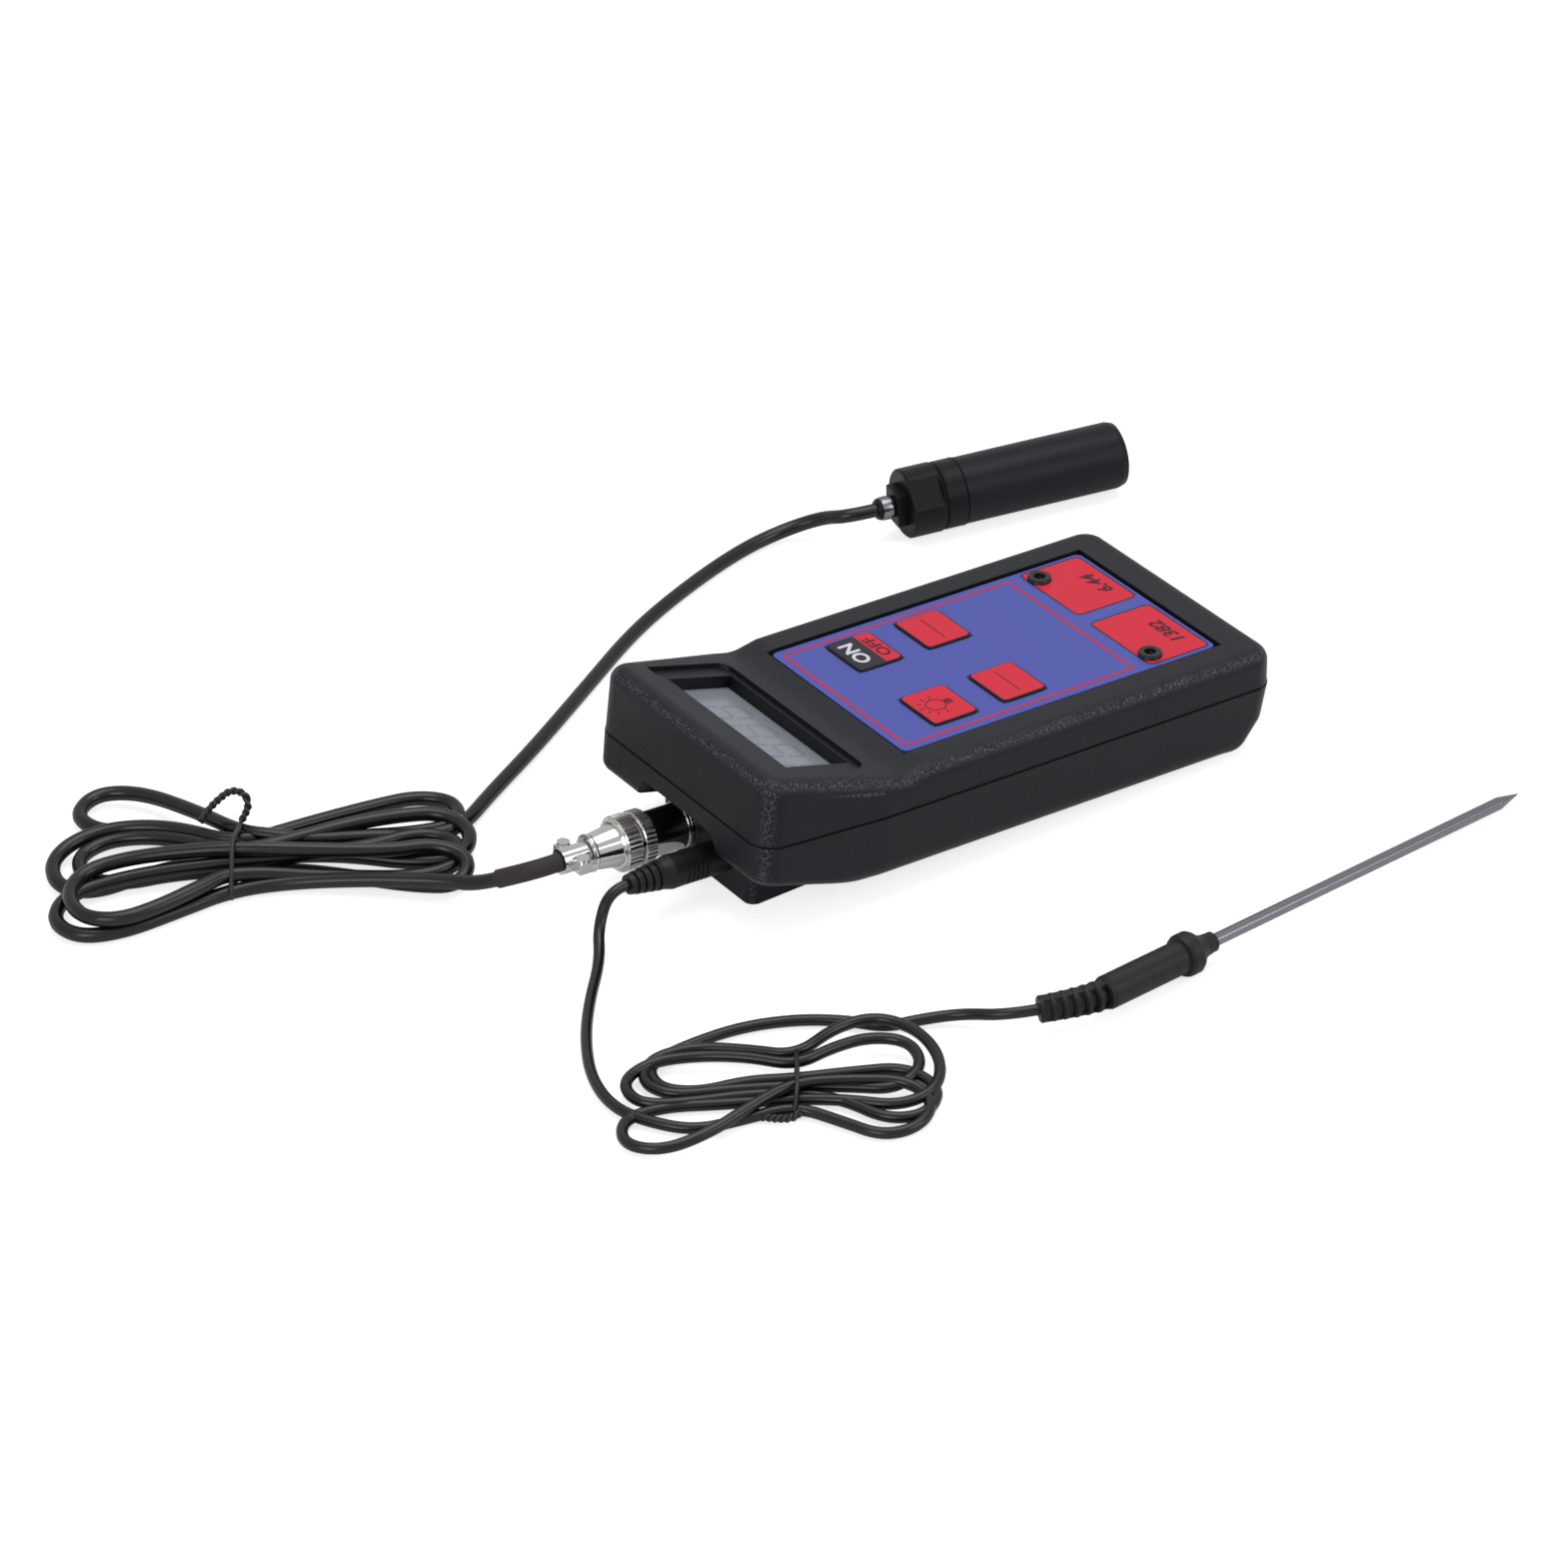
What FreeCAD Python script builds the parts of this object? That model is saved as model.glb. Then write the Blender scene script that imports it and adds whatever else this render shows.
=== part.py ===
import FreeCAD, Part
import Sketcher
import math
import os

os.makedirs("parts", exist_ok=True)
V = FreeCAD.Vector
doc = FreeCAD.newDocument("tds_meter")

# Driving dimensions, all in mm or degrees.
# Housing numbers are in the housing frame: x across, y towards the display end, z up,
# with y = 0 at mid length and z = 0 on the flat underside.
sheet = doc.addObject("Spreadsheet::Sheet", "Sizes")
numbers = [
    ("half_wide", 41.0), ("head_half_wide", 37.9), ("end_y", 81.6), ("taper_start", 45.0),
    ("part_z", 19.5), ("top_z", 30.0), ("bend_y", 31.0), ("valley_y", 38.5), ("valley_z", 28.3),
    ("head_top_y", 80.0), ("head_top_z", 38.9), ("tail_low_z", 8.7), ("draft", 1.2),
    ("wall", 2.2), ("roof_z", 26.8), ("bay_floor", 28.6), ("bezel_drop", 3.35),
    ("foot_half", 21.0), ("foot_rear", 44.0), ("foot_front", 73.0), ("foot_drop", 8.2),
    ("rest_tail", 72.7), ("port_y", 72.8), ("port_z", 1.8), ("port_lean", 1.5), ("port_x", 9.2),
    ("arch_top", 14.0), ("arch_half", 15.4), ("arch_low_half", 19.1), ("skin_low", 8.4),
    ("side_rim", 10.9), ("sheet_tail", -69.1), ("sheet_head", 32.3), ("sheet_top", 29.45),
    ("key_wide", 16.3), ("key_long", 14.1), ("key_far_x", 17.5), ("key_near_x", -15.7),
    ("key_head_y", 11.05), ("key_tail_y", -11.1), ("key_low", 29.1), ("key_high", 30.0),
    ("cal_x", 24.3), ("cal_y", -51.5), ("window_half", 26.6), ("window_tail", 47.05),
    ("window_head", 66.7), ("bay_half", 32.1), ("bay_depth", 1.15), ("board_low", 22.0),
    ("board_high", 23.6), ("post_inset", 8.5), ("post_tail_inset", 11.6), ("post_head_y", 36.0),
    ("battery_half", 13.25), ("battery_tail", -64.5), ("battery_head", -16.0), ("battery_high", 19.7),
    ("cap_r", 10.0), ("cable_r", 2.0), ("lead_r", 1.5), ("needle_r", 1.7), ("needle_long", 110.0),
    ("tube_r", 9.6), ("tube_end", 66.5), ("electrode_x", 108.5), ("electrode_y", -126.6), ("electrode_turn", 167.9),
    ("probe_x", -111.8), ("probe_y", -56.1), ("probe_z", 5.75), ("tip_x", -100.4), ("tip_y", -175.2),
    ("tds_tie_x", 71.4), ("tds_tie_y", 112.8), ("temp_tie_x", -94.6), ("temp_tie_y", 51.9),
]
for row, (alias, value) in enumerate(numbers, start=1):
    sheet.set("A%d" % row, str(value))
    sheet.setAlias("A%d" % row, alias)
row = len(numbers) + 1
formulas = [
    ("sheet_half", "=half_wide - side_rim"),
    ("post_x", "=half_wide - post_inset"),
    ("post_tail_y", "=post_tail_inset - end_y"),
    ("tilt", "=atan(foot_drop / (foot_front + rest_tail)) / 1 deg"),
    ("slope", "=atan((head_top_z - valley_z) / (head_top_y - valley_y)) / 1 deg"),
    ("foot_mid", "=(foot_rear + foot_front) / 2"),
    ("rest_fall", "=foot_drop / (foot_front + rest_tail)"),
    ("rest_mid", "=0 - foot_drop + rest_fall * (foot_front - foot_mid)"),
    ("mid_y", "=(window_tail + window_head) / 2"),
    ("mid_z", "=valley_z + (mid_y - valley_y) * tan(slope * 1 deg)"),
]
for alias, text in formulas:
    sheet.set("A%d" % row, text)
    sheet.setAlias("A%d" % row, alias)
    row += 1
doc.recompute()


def size(name):
    return float(sheet.get(name))


def text(value):
    """A number or a formula over the sheet as expression text."""
    if isinstance(value, str):
        return value
    return "%.6f" % value


def worth(value):
    if isinstance(value, str):
        return float(doc.Sizes.evalExpression(value))
    return float(value)


# Each frame is a place for y and z and a turn about x: "housing" is the meter as it
# stands on the floor, and the others hang on it.
def world_frame(y, z, angle):
    """Placement text of a frame at (0, y, z) of the housing frame, in the room."""
    dy = "(%s - Sizes.foot_mid)" % y
    dz = "(%s - Sizes.rest_mid)" % z
    turn = "(Sizes.tilt * 1 deg)"
    by = "%s * cos%s - %s * sin%s" % (dy, turn, dz, turn)
    bz = "%s * sin%s + %s * cos%s" % (dy, turn, dz, turn)
    return by, bz, "(Sizes.tilt + %s) * 1 deg" % angle


PLACES = {
    "housing": world_frame("0", "0", "0"),
    "port": world_frame("Sizes.port_y", "Sizes.port_z", "Sizes.port_lean"),
    "display": world_frame("Sizes.mid_y", "Sizes.mid_z", "Sizes.slope"),
    "port_cut": ("Sizes.port_y", "Sizes.port_z", "Sizes.port_lean * 1 deg"),
    "display_cut": ("Sizes.mid_y", "Sizes.mid_z", "Sizes.slope * 1 deg"),
}


CORNERS = {}


def put(thing, place):
    """Stand a finished shape in one of the frames above."""
    by, bz, angle = PLACES[place]
    if thing.Name in CORNERS:
        x, y, z = CORNERS[thing.Name]
        by, bz = ("(%s) + (%s) * cos(%s) - (%s) * sin(%s)" % (by, y, angle, z, angle),
                  "(%s) + (%s) * sin(%s) + (%s) * cos(%s)" % (bz, y, angle, z, angle))
    base_x = thing.Placement.Base.x
    thing.Placement = FreeCAD.Placement(V(base_x, 0, 0), FreeCAD.Rotation(V(1, 0, 0), 1))
    thing.setExpression("Placement.Base.y", by)
    thing.setExpression("Placement.Base.z", bz)
    thing.setExpression("Placement.Rotation.Angle", angle)
    return thing


def box(name, x0, x1, y0, y1, z0, z1):
    thing = doc.addObject("Part::Box", name)
    pairs = (("Length", x0, x1), ("Width", y0, y1), ("Height", z0, z1))
    for prop, low, high in pairs:
        setattr(thing, prop, worth(high) - worth(low))
        thing.setExpression(prop, "(%s) - (%s)" % (text(high), text(low)))
    thing.Placement.Base = V(worth(x0), worth(y0), worth(z0))
    CORNERS[thing.Name] = (text(x0), text(y0), text(z0))
    for prop, low in (("x", x0), ("y", y0), ("z", z0)):
        thing.setExpression("Placement.Base." + prop, text(low))
    return thing


def rod(name, r, x, y, z0, z1):
    """Upright cylinder."""
    thing = doc.addObject("Part::Cylinder", name)
    thing.Radius = worth(r)
    thing.Height = worth(z1) - worth(z0)
    thing.setExpression("Radius", text(r))
    thing.setExpression("Height", "(%s) - (%s)" % (text(z1), text(z0)))
    thing.Placement.Base = V(worth(x), worth(y), worth(z0))
    for prop, low in (("x", x), ("y", y), ("z", z0)):
        thing.setExpression("Placement.Base." + prop, text(low))
    return thing


def outline(name, pts, rotation=None):
    """Closed polygon sketch, every corner held by the sheet's numbers."""
    sk = doc.addObject("Sketcher::SketchObject", name)
    if rotation is not None:
        sk.Placement = FreeCAD.Placement(V(0, 0, 0), rotation)
    at = [(worth(a), worth(b)) for a, b in pts]
    n = len(at)
    for i in range(n):
        a, b = at[i], at[(i + 1) % n]
        sk.addGeometry(Part.LineSegment(V(a[0], a[1], 0), V(b[0], b[1], 0)), False)
    for i in range(n):
        sk.addConstraint(Sketcher.Constraint("Coincident", i, 2, (i + 1) % n, 1))
    for i, (ea, eb) in enumerate(pts):
        for kind, e, v in (("DistanceX", ea, at[i][0]), ("DistanceY", eb, at[i][1])):
            k = sk.addConstraint(Sketcher.Constraint(kind, -1, 1, i, 1, v))
            if isinstance(e, str):
                sk.setExpression("Constraints[%d]" % k, e)
    return sk


SIDE = FreeCAD.Rotation(V(1, 1, 1), 120)


def push(name, sk, direction, forward, back=0.0, draft=None):
    thing = doc.addObject("Part::Extrusion", name)
    thing.Base = sk
    thing.DirMode = "Custom"
    thing.Dir = direction
    thing.LengthFwd = worth(forward)
    thing.LengthRev = worth(back)
    thing.Solid = True
    if draft is not None:
        thing.TaperAngle = worth(draft)
        thing.setExpression("TaperAngle", text(draft))
    return thing


def side_solid(name, pts, half=50.0):
    """Solid of a side profile given as (y, z), symmetric about x = 0."""
    return push(name, outline(name + "_line", pts, SIDE), V(1, 0, 0), half, half)


def spin(name, x, pts, z=0.0):
    """Turned solid about an axis along y at x; the profile is (radius, y)."""
    line = [("(%s) + %s" % (text(x), text(r)), text(y)) for r, y in pts]
    sk = outline(name + "_line", line)
    sk.Placement.Base = V(0, 0, worth(z))
    thing = doc.addObject("Part::Revolution", name)
    thing.Source = sk
    thing.Axis = V(0, 1, 0)
    thing.Base = V(worth(x), 0, worth(z))
    thing.Angle = 360.0
    thing.Solid = True
    return thing


def join(name, things):
    thing = doc.addObject("Part::MultiFuse", name)
    thing.Shapes = things
    thing.Refine = True
    return thing


def common(name, things):
    thing = doc.addObject("Part::MultiCommon", name)
    thing.Shapes = things
    return thing


def cut(name, base, tools):
    tool = tools[0] if len(tools) == 1 else join(name + "_tools", tools)
    thing = doc.addObject("Part::Cut", name)
    thing.Base = base
    thing.Tool = tool
    return thing


def soften(name, base, r, keep):
    """Round the edges that keep() picks."""
    doc.recompute()
    edges = []
    for i, e in enumerate(base.Shape.Edges):
        if keep(e):
            edges.append((i + 1, r, r))
    thing = doc.addObject("Part::Fillet", name)
    thing.Base = base
    thing.Edges = edges
    doc.recompute()
    if thing.Shape.isNull() or not thing.Shape.isValid():
        print("left sharp:", name, len(edges))
        doc.removeObject(thing.Name)
        base.Visibility = True
        return base
    return thing


def mid(e):
    box_of = e.BoundBox
    return box_of.Center


def upright(e):
    b = e.BoundBox
    return b.ZLength > 6 and b.XLength < 1.5 and b.YLength < 4


def across(e, y, z, tol=1.2):
    b = e.BoundBox
    return b.XLength > 20 and b.YLength < 1 and abs(b.Center.y - y) < tol and abs(b.Center.z - z) < tol


# Plan outline shared by both shells.
def plan(name, inset, z0, rise, draft, corner=0.0):
    h = "Sizes.half_wide - %s" % inset
    hh = "Sizes.head_half_wide - %s" % inset
    y = "Sizes.end_y - %s" % inset
    pts = [("-(%s)" % h, "-(%s)" % y), (h, "-(%s)" % y), (h, "Sizes.taper_start"), (hh, y + " + 1.5"),
           ("-(%s)" % hh, y + " + 1.5"), ("-(%s)" % h, "Sizes.taper_start")]
    sk = outline(name + "_plan", pts)
    sk.Placement.Base = V(0, 0, z0)
    block = push(name + "_block", sk, V(0, 0, 1 if rise > 0 else -1), abs(rise), 0.0, draft)
    if corner == 0.0:
        return block
    return soften(name + "_plan_round", block, corner, lambda e: e.BoundBox.ZLength > 10 and abs(mid(e).y) > 74)


# Upper case: bent top, sunk bays, posts.
head_line = "Sizes.valley_z + (%s - Sizes.valley_y) * tan(Sizes.slope * 1 deg)"
roof_line = head_line + " - Sizes.bezel_drop / cos(Sizes.slope * 1 deg)"
up_side = side_solid("upper_side", [
    ("-Sizes.end_y", "Sizes.part_z"), ("0.3 - Sizes.end_y", "Sizes.top_z"), ("Sizes.bend_y", "Sizes.top_z"),
    ("Sizes.valley_y", "Sizes.valley_z"), ("Sizes.head_top_y", "Sizes.head_top_z"),
    ("Sizes.end_y", "Sizes.part_z")])
up_raw = common("upper_raw", [up_side, plan("upper", 0.0, size("part_z"), 24, "-Sizes.draft")])
up_bent = soften("upper_bends", up_raw, 12.0, lambda e: across(e, size("bend_y"), size("top_z")) or
                 across(e, size("valley_y"), size("valley_z")))
up_corners = soften("upper_corners", up_bent, 6.5, lambda e: upright(e) and abs(mid(e).y) > 76)
up_3 = soften("upper_rim", up_corners, 4.0, lambda e: e.BoundBox.ZMin > 24)
in_side = side_solid("upper_in_side", [
    ("2.4 - Sizes.end_y", "Sizes.part_z - 1"), ("2.6 - Sizes.end_y", "Sizes.roof_z"),
    ("Sizes.bend_y + 2", "Sizes.roof_z"), ("38.3", roof_line % "38.3"), ("78.0", roof_line % "78.0"),
    ("79.3", "Sizes.part_z - 1")])
in_round = common("upper_in", [in_side, plan("upper_in", 2.4, size("part_z") - 1, 24, "-Sizes.draft", 4.1)])
key_spots = {
    "power": ("Sizes.key_far_x", "Sizes.key_head_y"), "mode": ("Sizes.key_far_x", "Sizes.key_tail_y"),
    "light": ("Sizes.key_near_x", "Sizes.key_head_y"), "unit": ("Sizes.key_near_x", "Sizes.key_tail_y"),
}
cal_spots = {"far": "Sizes.cal_x", "near": "-Sizes.cal_x"}
post_spots = [(sx, sy) for sx in ("Sizes.post_x", "-Sizes.post_x") for sy in ("Sizes.post_tail_y", "Sizes.post_head_y")]
up_tools = [
    in_round,
    box("label_bay", "-Sizes.sheet_half - 1", "Sizes.sheet_half + 1", "Sizes.sheet_tail - 1", "Sizes.sheet_head + 0.6",
        "Sizes.bay_floor", "Sizes.bay_floor + 5"),
    put(box("display_bay", "-Sizes.bay_half", "Sizes.bay_half", -12.1, 13.8, "-Sizes.bay_depth", 8.0), "display_cut"),
    put(box("display_hole", "-Sizes.window_half", "Sizes.window_half", -10.14, 10.14, -9.0, 2.0), "display_cut"),
]
for key, (kx, ky) in key_spots.items():
    up_tools.append(rod("key_hole_" + key, 2.5, kx, ky, 20.0, 40.0))
for side, cx in cal_spots.items():
    up_tools.append(rod("cal_hole_" + side, 2.2, cx, "Sizes.cal_y", 20.0, 40.0))
up_shell = cut("upper_shell", up_3, up_tools)
posts = []
pilots = []
for i, (px, py) in enumerate(post_spots):
    roof = "Sizes.roof_z + 0.7" if i % 2 == 0 else "Sizes.roof_z - 0.3"
    posts.append(rod("upper_post_%d" % i, 3.5, px, py, "Sizes.part_z", roof))
    pilots.append(rod("upper_pilot_%d" % i, 1.3, px, py, "Sizes.part_z - 9.5", "Sizes.part_z + 5.5"))
upper_case = put(cut("upper_case", join("upper_with_posts", [up_shell] + posts), pilots), "housing")

# Lower case: tray, foot block, arch pocket, battery tray, posts.
low_side = side_solid("lower_side", [
    ("-Sizes.end_y", "Sizes.part_z"), ("1.8 - Sizes.end_y", "Sizes.tail_low_z"), ("-73.2", "0"), ("48.7", "0"),
    ("Sizes.end_y + 0.9", "8.7"), ("Sizes.end_y", "Sizes.part_z")])
low_raw = common("lower_raw", [low_side, plan("lower", 0.0, size("part_z"), -26, "-Sizes.draft")])
low_corners = soften("lower_corners", low_raw, 6.0, lambda e: e.BoundBox.ZLength > 5 and e.BoundBox.XLength < 2 and
                     e.BoundBox.YLength < 9 and abs(mid(e).y) > 68)
low_bent = soften("lower_bends", low_corners, 6.0, lambda e: across(e, -79.8, 8.7, 1.5) or across(e, -73.2, 0.0, 1.5))
low_3 = soften("lower_rim", low_bent, 3.0, lambda e: e.BoundBox.ZMax < 12 and e.BoundBox.YLength > 12 and
               abs(mid(e).x) > 36)
foot_low = "Sizes.rest_fall * (Sizes.foot_front - %s) - Sizes.foot_drop"
foot_block = side_solid("foot_block", [
    ("Sizes.foot_rear", foot_low % "Sizes.foot_rear"), ("Sizes.foot_front + 0.04", "-Sizes.foot_drop"),
    ("Sizes.port_y - 0.214", "10"), ("Sizes.foot_rear", "10")], size("foot_half"))
foot_round = soften("foot_corners", foot_block, 3.0, lambda e: upright(e))
cav_side = side_solid("lower_in_side", [
    ("2.2 - Sizes.end_y", "Sizes.part_z + 1"), ("4.2 - Sizes.end_y", "9.2"), ("-71.2", "Sizes.wall"),
    ("49.2", "Sizes.wall"), ("79.6", "10.3"), ("79.4", "Sizes.part_z + 1")])
cav = common("lower_in", [cav_side, plan("lower_in", 2.2, size("part_z") + 1, -26, "-Sizes.draft", 4.3)])
foot_in = side_solid("foot_in", [
    ("Sizes.foot_rear + 2.2", foot_low % "Sizes.foot_rear" + " + 2.2"), ("Sizes.port_y - 2.2 + 0.2", "2.0 - Sizes.foot_drop"),
    ("Sizes.port_y - 2.2 - 0.2", "12"), ("Sizes.foot_rear + 2.2", "12")], size("foot_half") - 2.2)
liner = common("arch_liner", [box("arch_liner_box", -21.5, 21.5, "Sizes.port_y - 2.15", 84.0, -2.0, 16.3), low_3])
hold = "Sizes.battery_half + %s"
rear = "Sizes.battery_tail - %s"
front = "Sizes.battery_head + %s"
tray = cut("battery_tray", box("tray_out", "-(%s)" % (hold % 3.15), hold % 3.15, rear % 2.9, front % 5.4, "Sizes.wall - 1.2", "Sizes.battery_high - 0.7"),
           [box("tray_in", "-(%s)" % (hold % 1.75), hold % 1.75, rear % 1.5, front % 4, 0.0, "Sizes.battery_high + 0.3")])
arch_sk = outline("arch_line", [
    ("-Sizes.arch_half", "Sizes.arch_top - Sizes.port_z"), ("-Sizes.arch_low_half", "Sizes.skin_low - Sizes.port_z"),
    ("-Sizes.arch_low_half - 1.5", "-12"), ("Sizes.arch_low_half + 1.5", "-12"),
    ("Sizes.arch_low_half", "Sizes.skin_low - Sizes.port_z"), ("Sizes.arch_half", "Sizes.arch_top - Sizes.port_z")],
    FreeCAD.Rotation(V(1, 0, 0), 90))
arch = push("arch", arch_sk, V(0, 1, 0), 16.0)
put(arch, "port_cut")
low_solid = join("lower_solid", [low_3, foot_round])
low_hollow = cut("lower_hollow", low_solid, [cav, foot_in])
low_posts = [liner, tray, rod("cover_boss", 3.5, 0, front % 8, 1.0, 10.0)]
low_tools = [
    arch,
    box("cover_bay", "-(%s)" % (hold % 4.75), hold % 4.75, rear % 3.5, front % 12, -1.0, 1.2),
    box("cover_hole", "-(%s)" % (hold % 1.75), hold % 1.75, rear % 1.5, front % 4, -1.0, 4.0),
    rod("cover_pilot", 1.2, 0, front % 8, 0.0, 8.0),
    put(spin("socket_hole", "Sizes.port_x", [(0, -4), (5.4, -4), (5.4, 2), (0, 2)]), "port_cut"),
    put(spin("jack_hole", "-Sizes.port_x", [(0, -4), (3.0, -4), (3.0, 2), (0, 2)]), "port_cut"),
]
for i, (px, py) in enumerate(post_spots):
    low_posts.append(rod("lower_post_%d" % i, 4.2, px, py, "Sizes.wall - 1.2" if i % 2 else "Sizes.wall - 0.6", "Sizes.part_z"))
    low_tools.append(rod("screw_way_%d" % i, 1.6, px, py, -1.0, "Sizes.part_z + 1.5"))
    low_tools.append(rod("screw_bay_%d" % i, 2.8, px, py, -1.0, "Sizes.part_z - 7.5"))
for i, (sx, sy) in enumerate((("Sizes.post_x - 4.5", -58.0), ("4.5 - Sizes.post_x", -58.0), ("Sizes.post_x - 4.5", 26.0), ("4.5 - Sizes.post_x", 26.0))):
    low_posts.append(rod("board_post_%d" % i, 2.5, sx, sy, "Sizes.wall - 1.2", "Sizes.board_low"))
lower_case = put(cut("lower_case", join("lower_with_posts", [low_hollow] + low_posts), low_tools), "housing")

# Battery cover, battery and the screws from below.
cover_plate = box("cover_plate", "-(%s)" % (hold % 4.6), hold % 4.6, rear % 3.35, front % 11.85, 0.0, 1.2)
cover_lip = box("cover_lip", "-(%s)" % (hold % 1.6), hold % 1.6, rear % 1.35, front % 3.85, 1.2, "Sizes.wall")
battery_cover = put(cut("battery_cover", join("cover_both", [cover_plate, cover_lip]), [
    rod("cover_way", 1.3, 0, front % 8, -1.0, 3.0), rod("cover_head_bay", 2.8, 0, front % 8, -1.0, 0.6)]), "housing")
battery_screw = put(join("battery_screw", [rod("bs_head", 2.6, 0, front % 8, 0.05, 0.6), rod("bs_shank", 1.2, 0, front % 8, 0.6, 8.0)]), "housing")
case_screws = []
for i, (px, py) in enumerate(post_spots):
    head = rod("cs_head_%d" % i, 2.6, px, py, "Sizes.part_z - 9.5", "Sizes.part_z - 7.5")
    shank = rod("cs_shank_%d" % i, 1.3, px, py, "Sizes.part_z - 7.5", "Sizes.part_z + 5")
    socket = rod("cs_drive_%d" % i, 1.0, px, py, "Sizes.part_z - 10", "Sizes.part_z - 8.5")
    case_screws.append(put(cut("case_screw_%d" % (i + 1), join("cs_%d" % i, [head, shank]), [socket]), "housing"))
battery_9v = put(box("battery_9v", "-Sizes.battery_half", "Sizes.battery_half", "Sizes.battery_tail", "Sizes.battery_head",
                     "Sizes.wall", "Sizes.battery_high"), "housing")
battery_snap = put(box("battery_snap", -12.0, 12.0, "Sizes.battery_head", "Sizes.battery_head + 2.2", 4.0, 17.5), "housing")

# Boards and the parts on them.
board_plate = box("board_plate", "6 - Sizes.half_wide", "Sizes.half_wide - 6", "Sizes.post_tail_y + 5", "Sizes.post_head_y - 4.5",
                  "Sizes.board_low", "Sizes.board_high")
switches = []
keys = []
for key, (kx, ky) in key_spots.items():
    body = box("sw_body_" + key, kx + " - 3", kx + " + 3", ky + " - 3", ky + " + 3", "Sizes.board_high", "Sizes.board_high + 2.8")
    well = rod("sw_well_" + key, 1.85, kx, ky, "Sizes.board_high + 1", "Sizes.board_high + 3.4")
    switches.append(put(cut("tact_switch_" + key, body, [well]), "housing"))
    cap = box("cap_raw_" + key, kx + " - Sizes.key_wide / 2", kx + " + Sizes.key_wide / 2",
              ky + " - Sizes.key_long / 2", ky + " + Sizes.key_long / 2", "Sizes.key_low", "Sizes.key_high")
    cap = soften("cap_round_" + key, cap, 1.2, lambda e: e.BoundBox.ZLength > 0.5 and e.BoundBox.XLength < 0.1)
    stem = rod("key_stem_" + key, 2.0, kx, ky, "Sizes.board_high + 3.3", "Sizes.key_low")
    tip = rod("key_tip_" + key, 1.75, kx, ky, "Sizes.board_high + 1.6", "Sizes.board_high + 3.3")
    keys.append(put(join("key_" + key, [cap, stem, tip]), "housing"))
trim = []
trimmers = []
wells = []
for side, cx in cal_spots.items():
    trimmers.append(box("trimmer_" + side, cx + " - 3.4", cx + " + 3.4", "Sizes.cal_y - 3.4", "Sizes.cal_y + 3.4",
                        "Sizes.board_high", "Sizes.board_high + 2.4"))
    wells.append(rod("trimmer_well_" + side, 1.55, cx, "Sizes.cal_y", "Sizes.board_high + 0.6", "Sizes.board_high + 3.4"))
    rotor = rod("tr_" + side, 1.5, cx, "Sizes.cal_y", "Sizes.board_high + 0.7", "Sizes.sheet_top + 0.15")
    slot = box("ts_" + side, cx + " - 1.6", cx + " + 1.6", "Sizes.cal_y - 0.3", "Sizes.cal_y + 0.3", "Sizes.sheet_top - 0.65",
               "Sizes.sheet_top + 0.55")
    trim.append(put(cut("trimmer_rotor_" + side, rotor, [slot]), "housing"))
    collar = rod("gc_" + side, 3.05, cx, "Sizes.cal_y", "Sizes.bay_floor", "Sizes.sheet_top + 1.05")
    stem = rod("gs_" + side, 2.2, cx, "Sizes.cal_y", "Sizes.board_high + 2.8", "Sizes.bay_floor")
    bore = rod("gb_" + side, 1.6, cx, "Sizes.cal_y", "Sizes.board_high + 2.4", "Sizes.sheet_top + 1.55")
    trim.append(put(cut("cal_grommet_" + side, join("gj_" + side, [collar, stem]), [bore]), "housing"))
main_board = put(cut("main_board", join("board_with_trimmers", [board_plate] + trimmers), wells), "housing")

# Label sheet with its openings.
sheet_raw = box("label_raw", "-Sizes.sheet_half", "Sizes.sheet_half", "Sizes.sheet_tail", "Sizes.sheet_head",
                "Sizes.bay_floor", "Sizes.sheet_top")
sheet_round = soften("label_round", sheet_raw, 2.0, lambda e: e.BoundBox.ZLength > 0.5 and e.BoundBox.XLength < 0.1)
sheet_tools = []
for key, (kx, ky) in key_spots.items():
    sheet_tools.append(box("lw_" + key, kx + " - Sizes.key_wide / 2 - 0.2", kx + " + Sizes.key_wide / 2 + 0.2",
                           ky + " - Sizes.key_long / 2 - 0.2", ky + " + Sizes.key_long / 2 + 0.2", "Sizes.bay_floor - 0.6", "Sizes.sheet_top + 1.5"))
for side, cx in cal_spots.items():
    sheet_tools.append(rod("lc_" + side, 3.2, cx, "Sizes.cal_y", "Sizes.bay_floor - 0.6", "Sizes.sheet_top + 1.5"))
membrane_overlay = put(cut("membrane_overlay", sheet_round, sheet_tools), "housing")

# Display stack in the raised head.
lcd_frame = put(cut("lcd_frame", box("lf_out", -30.5, 30.5, -14.5, 14.5, -4.6, "-Sizes.bezel_drop"),
                    [box("lf_in", "-Sizes.window_half", "Sizes.window_half", -10.14, 10.14, -6.0, 0.0)]), "display")
lcd_glass = put(box("lcd_glass", -29.0, 29.0, -14.0, 14.0, -7.4, -4.6), "display")
display_board = put(box("display_board", -30.0, 30.0, -14.5, 14.5, -9.0, -7.4), "display")

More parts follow.
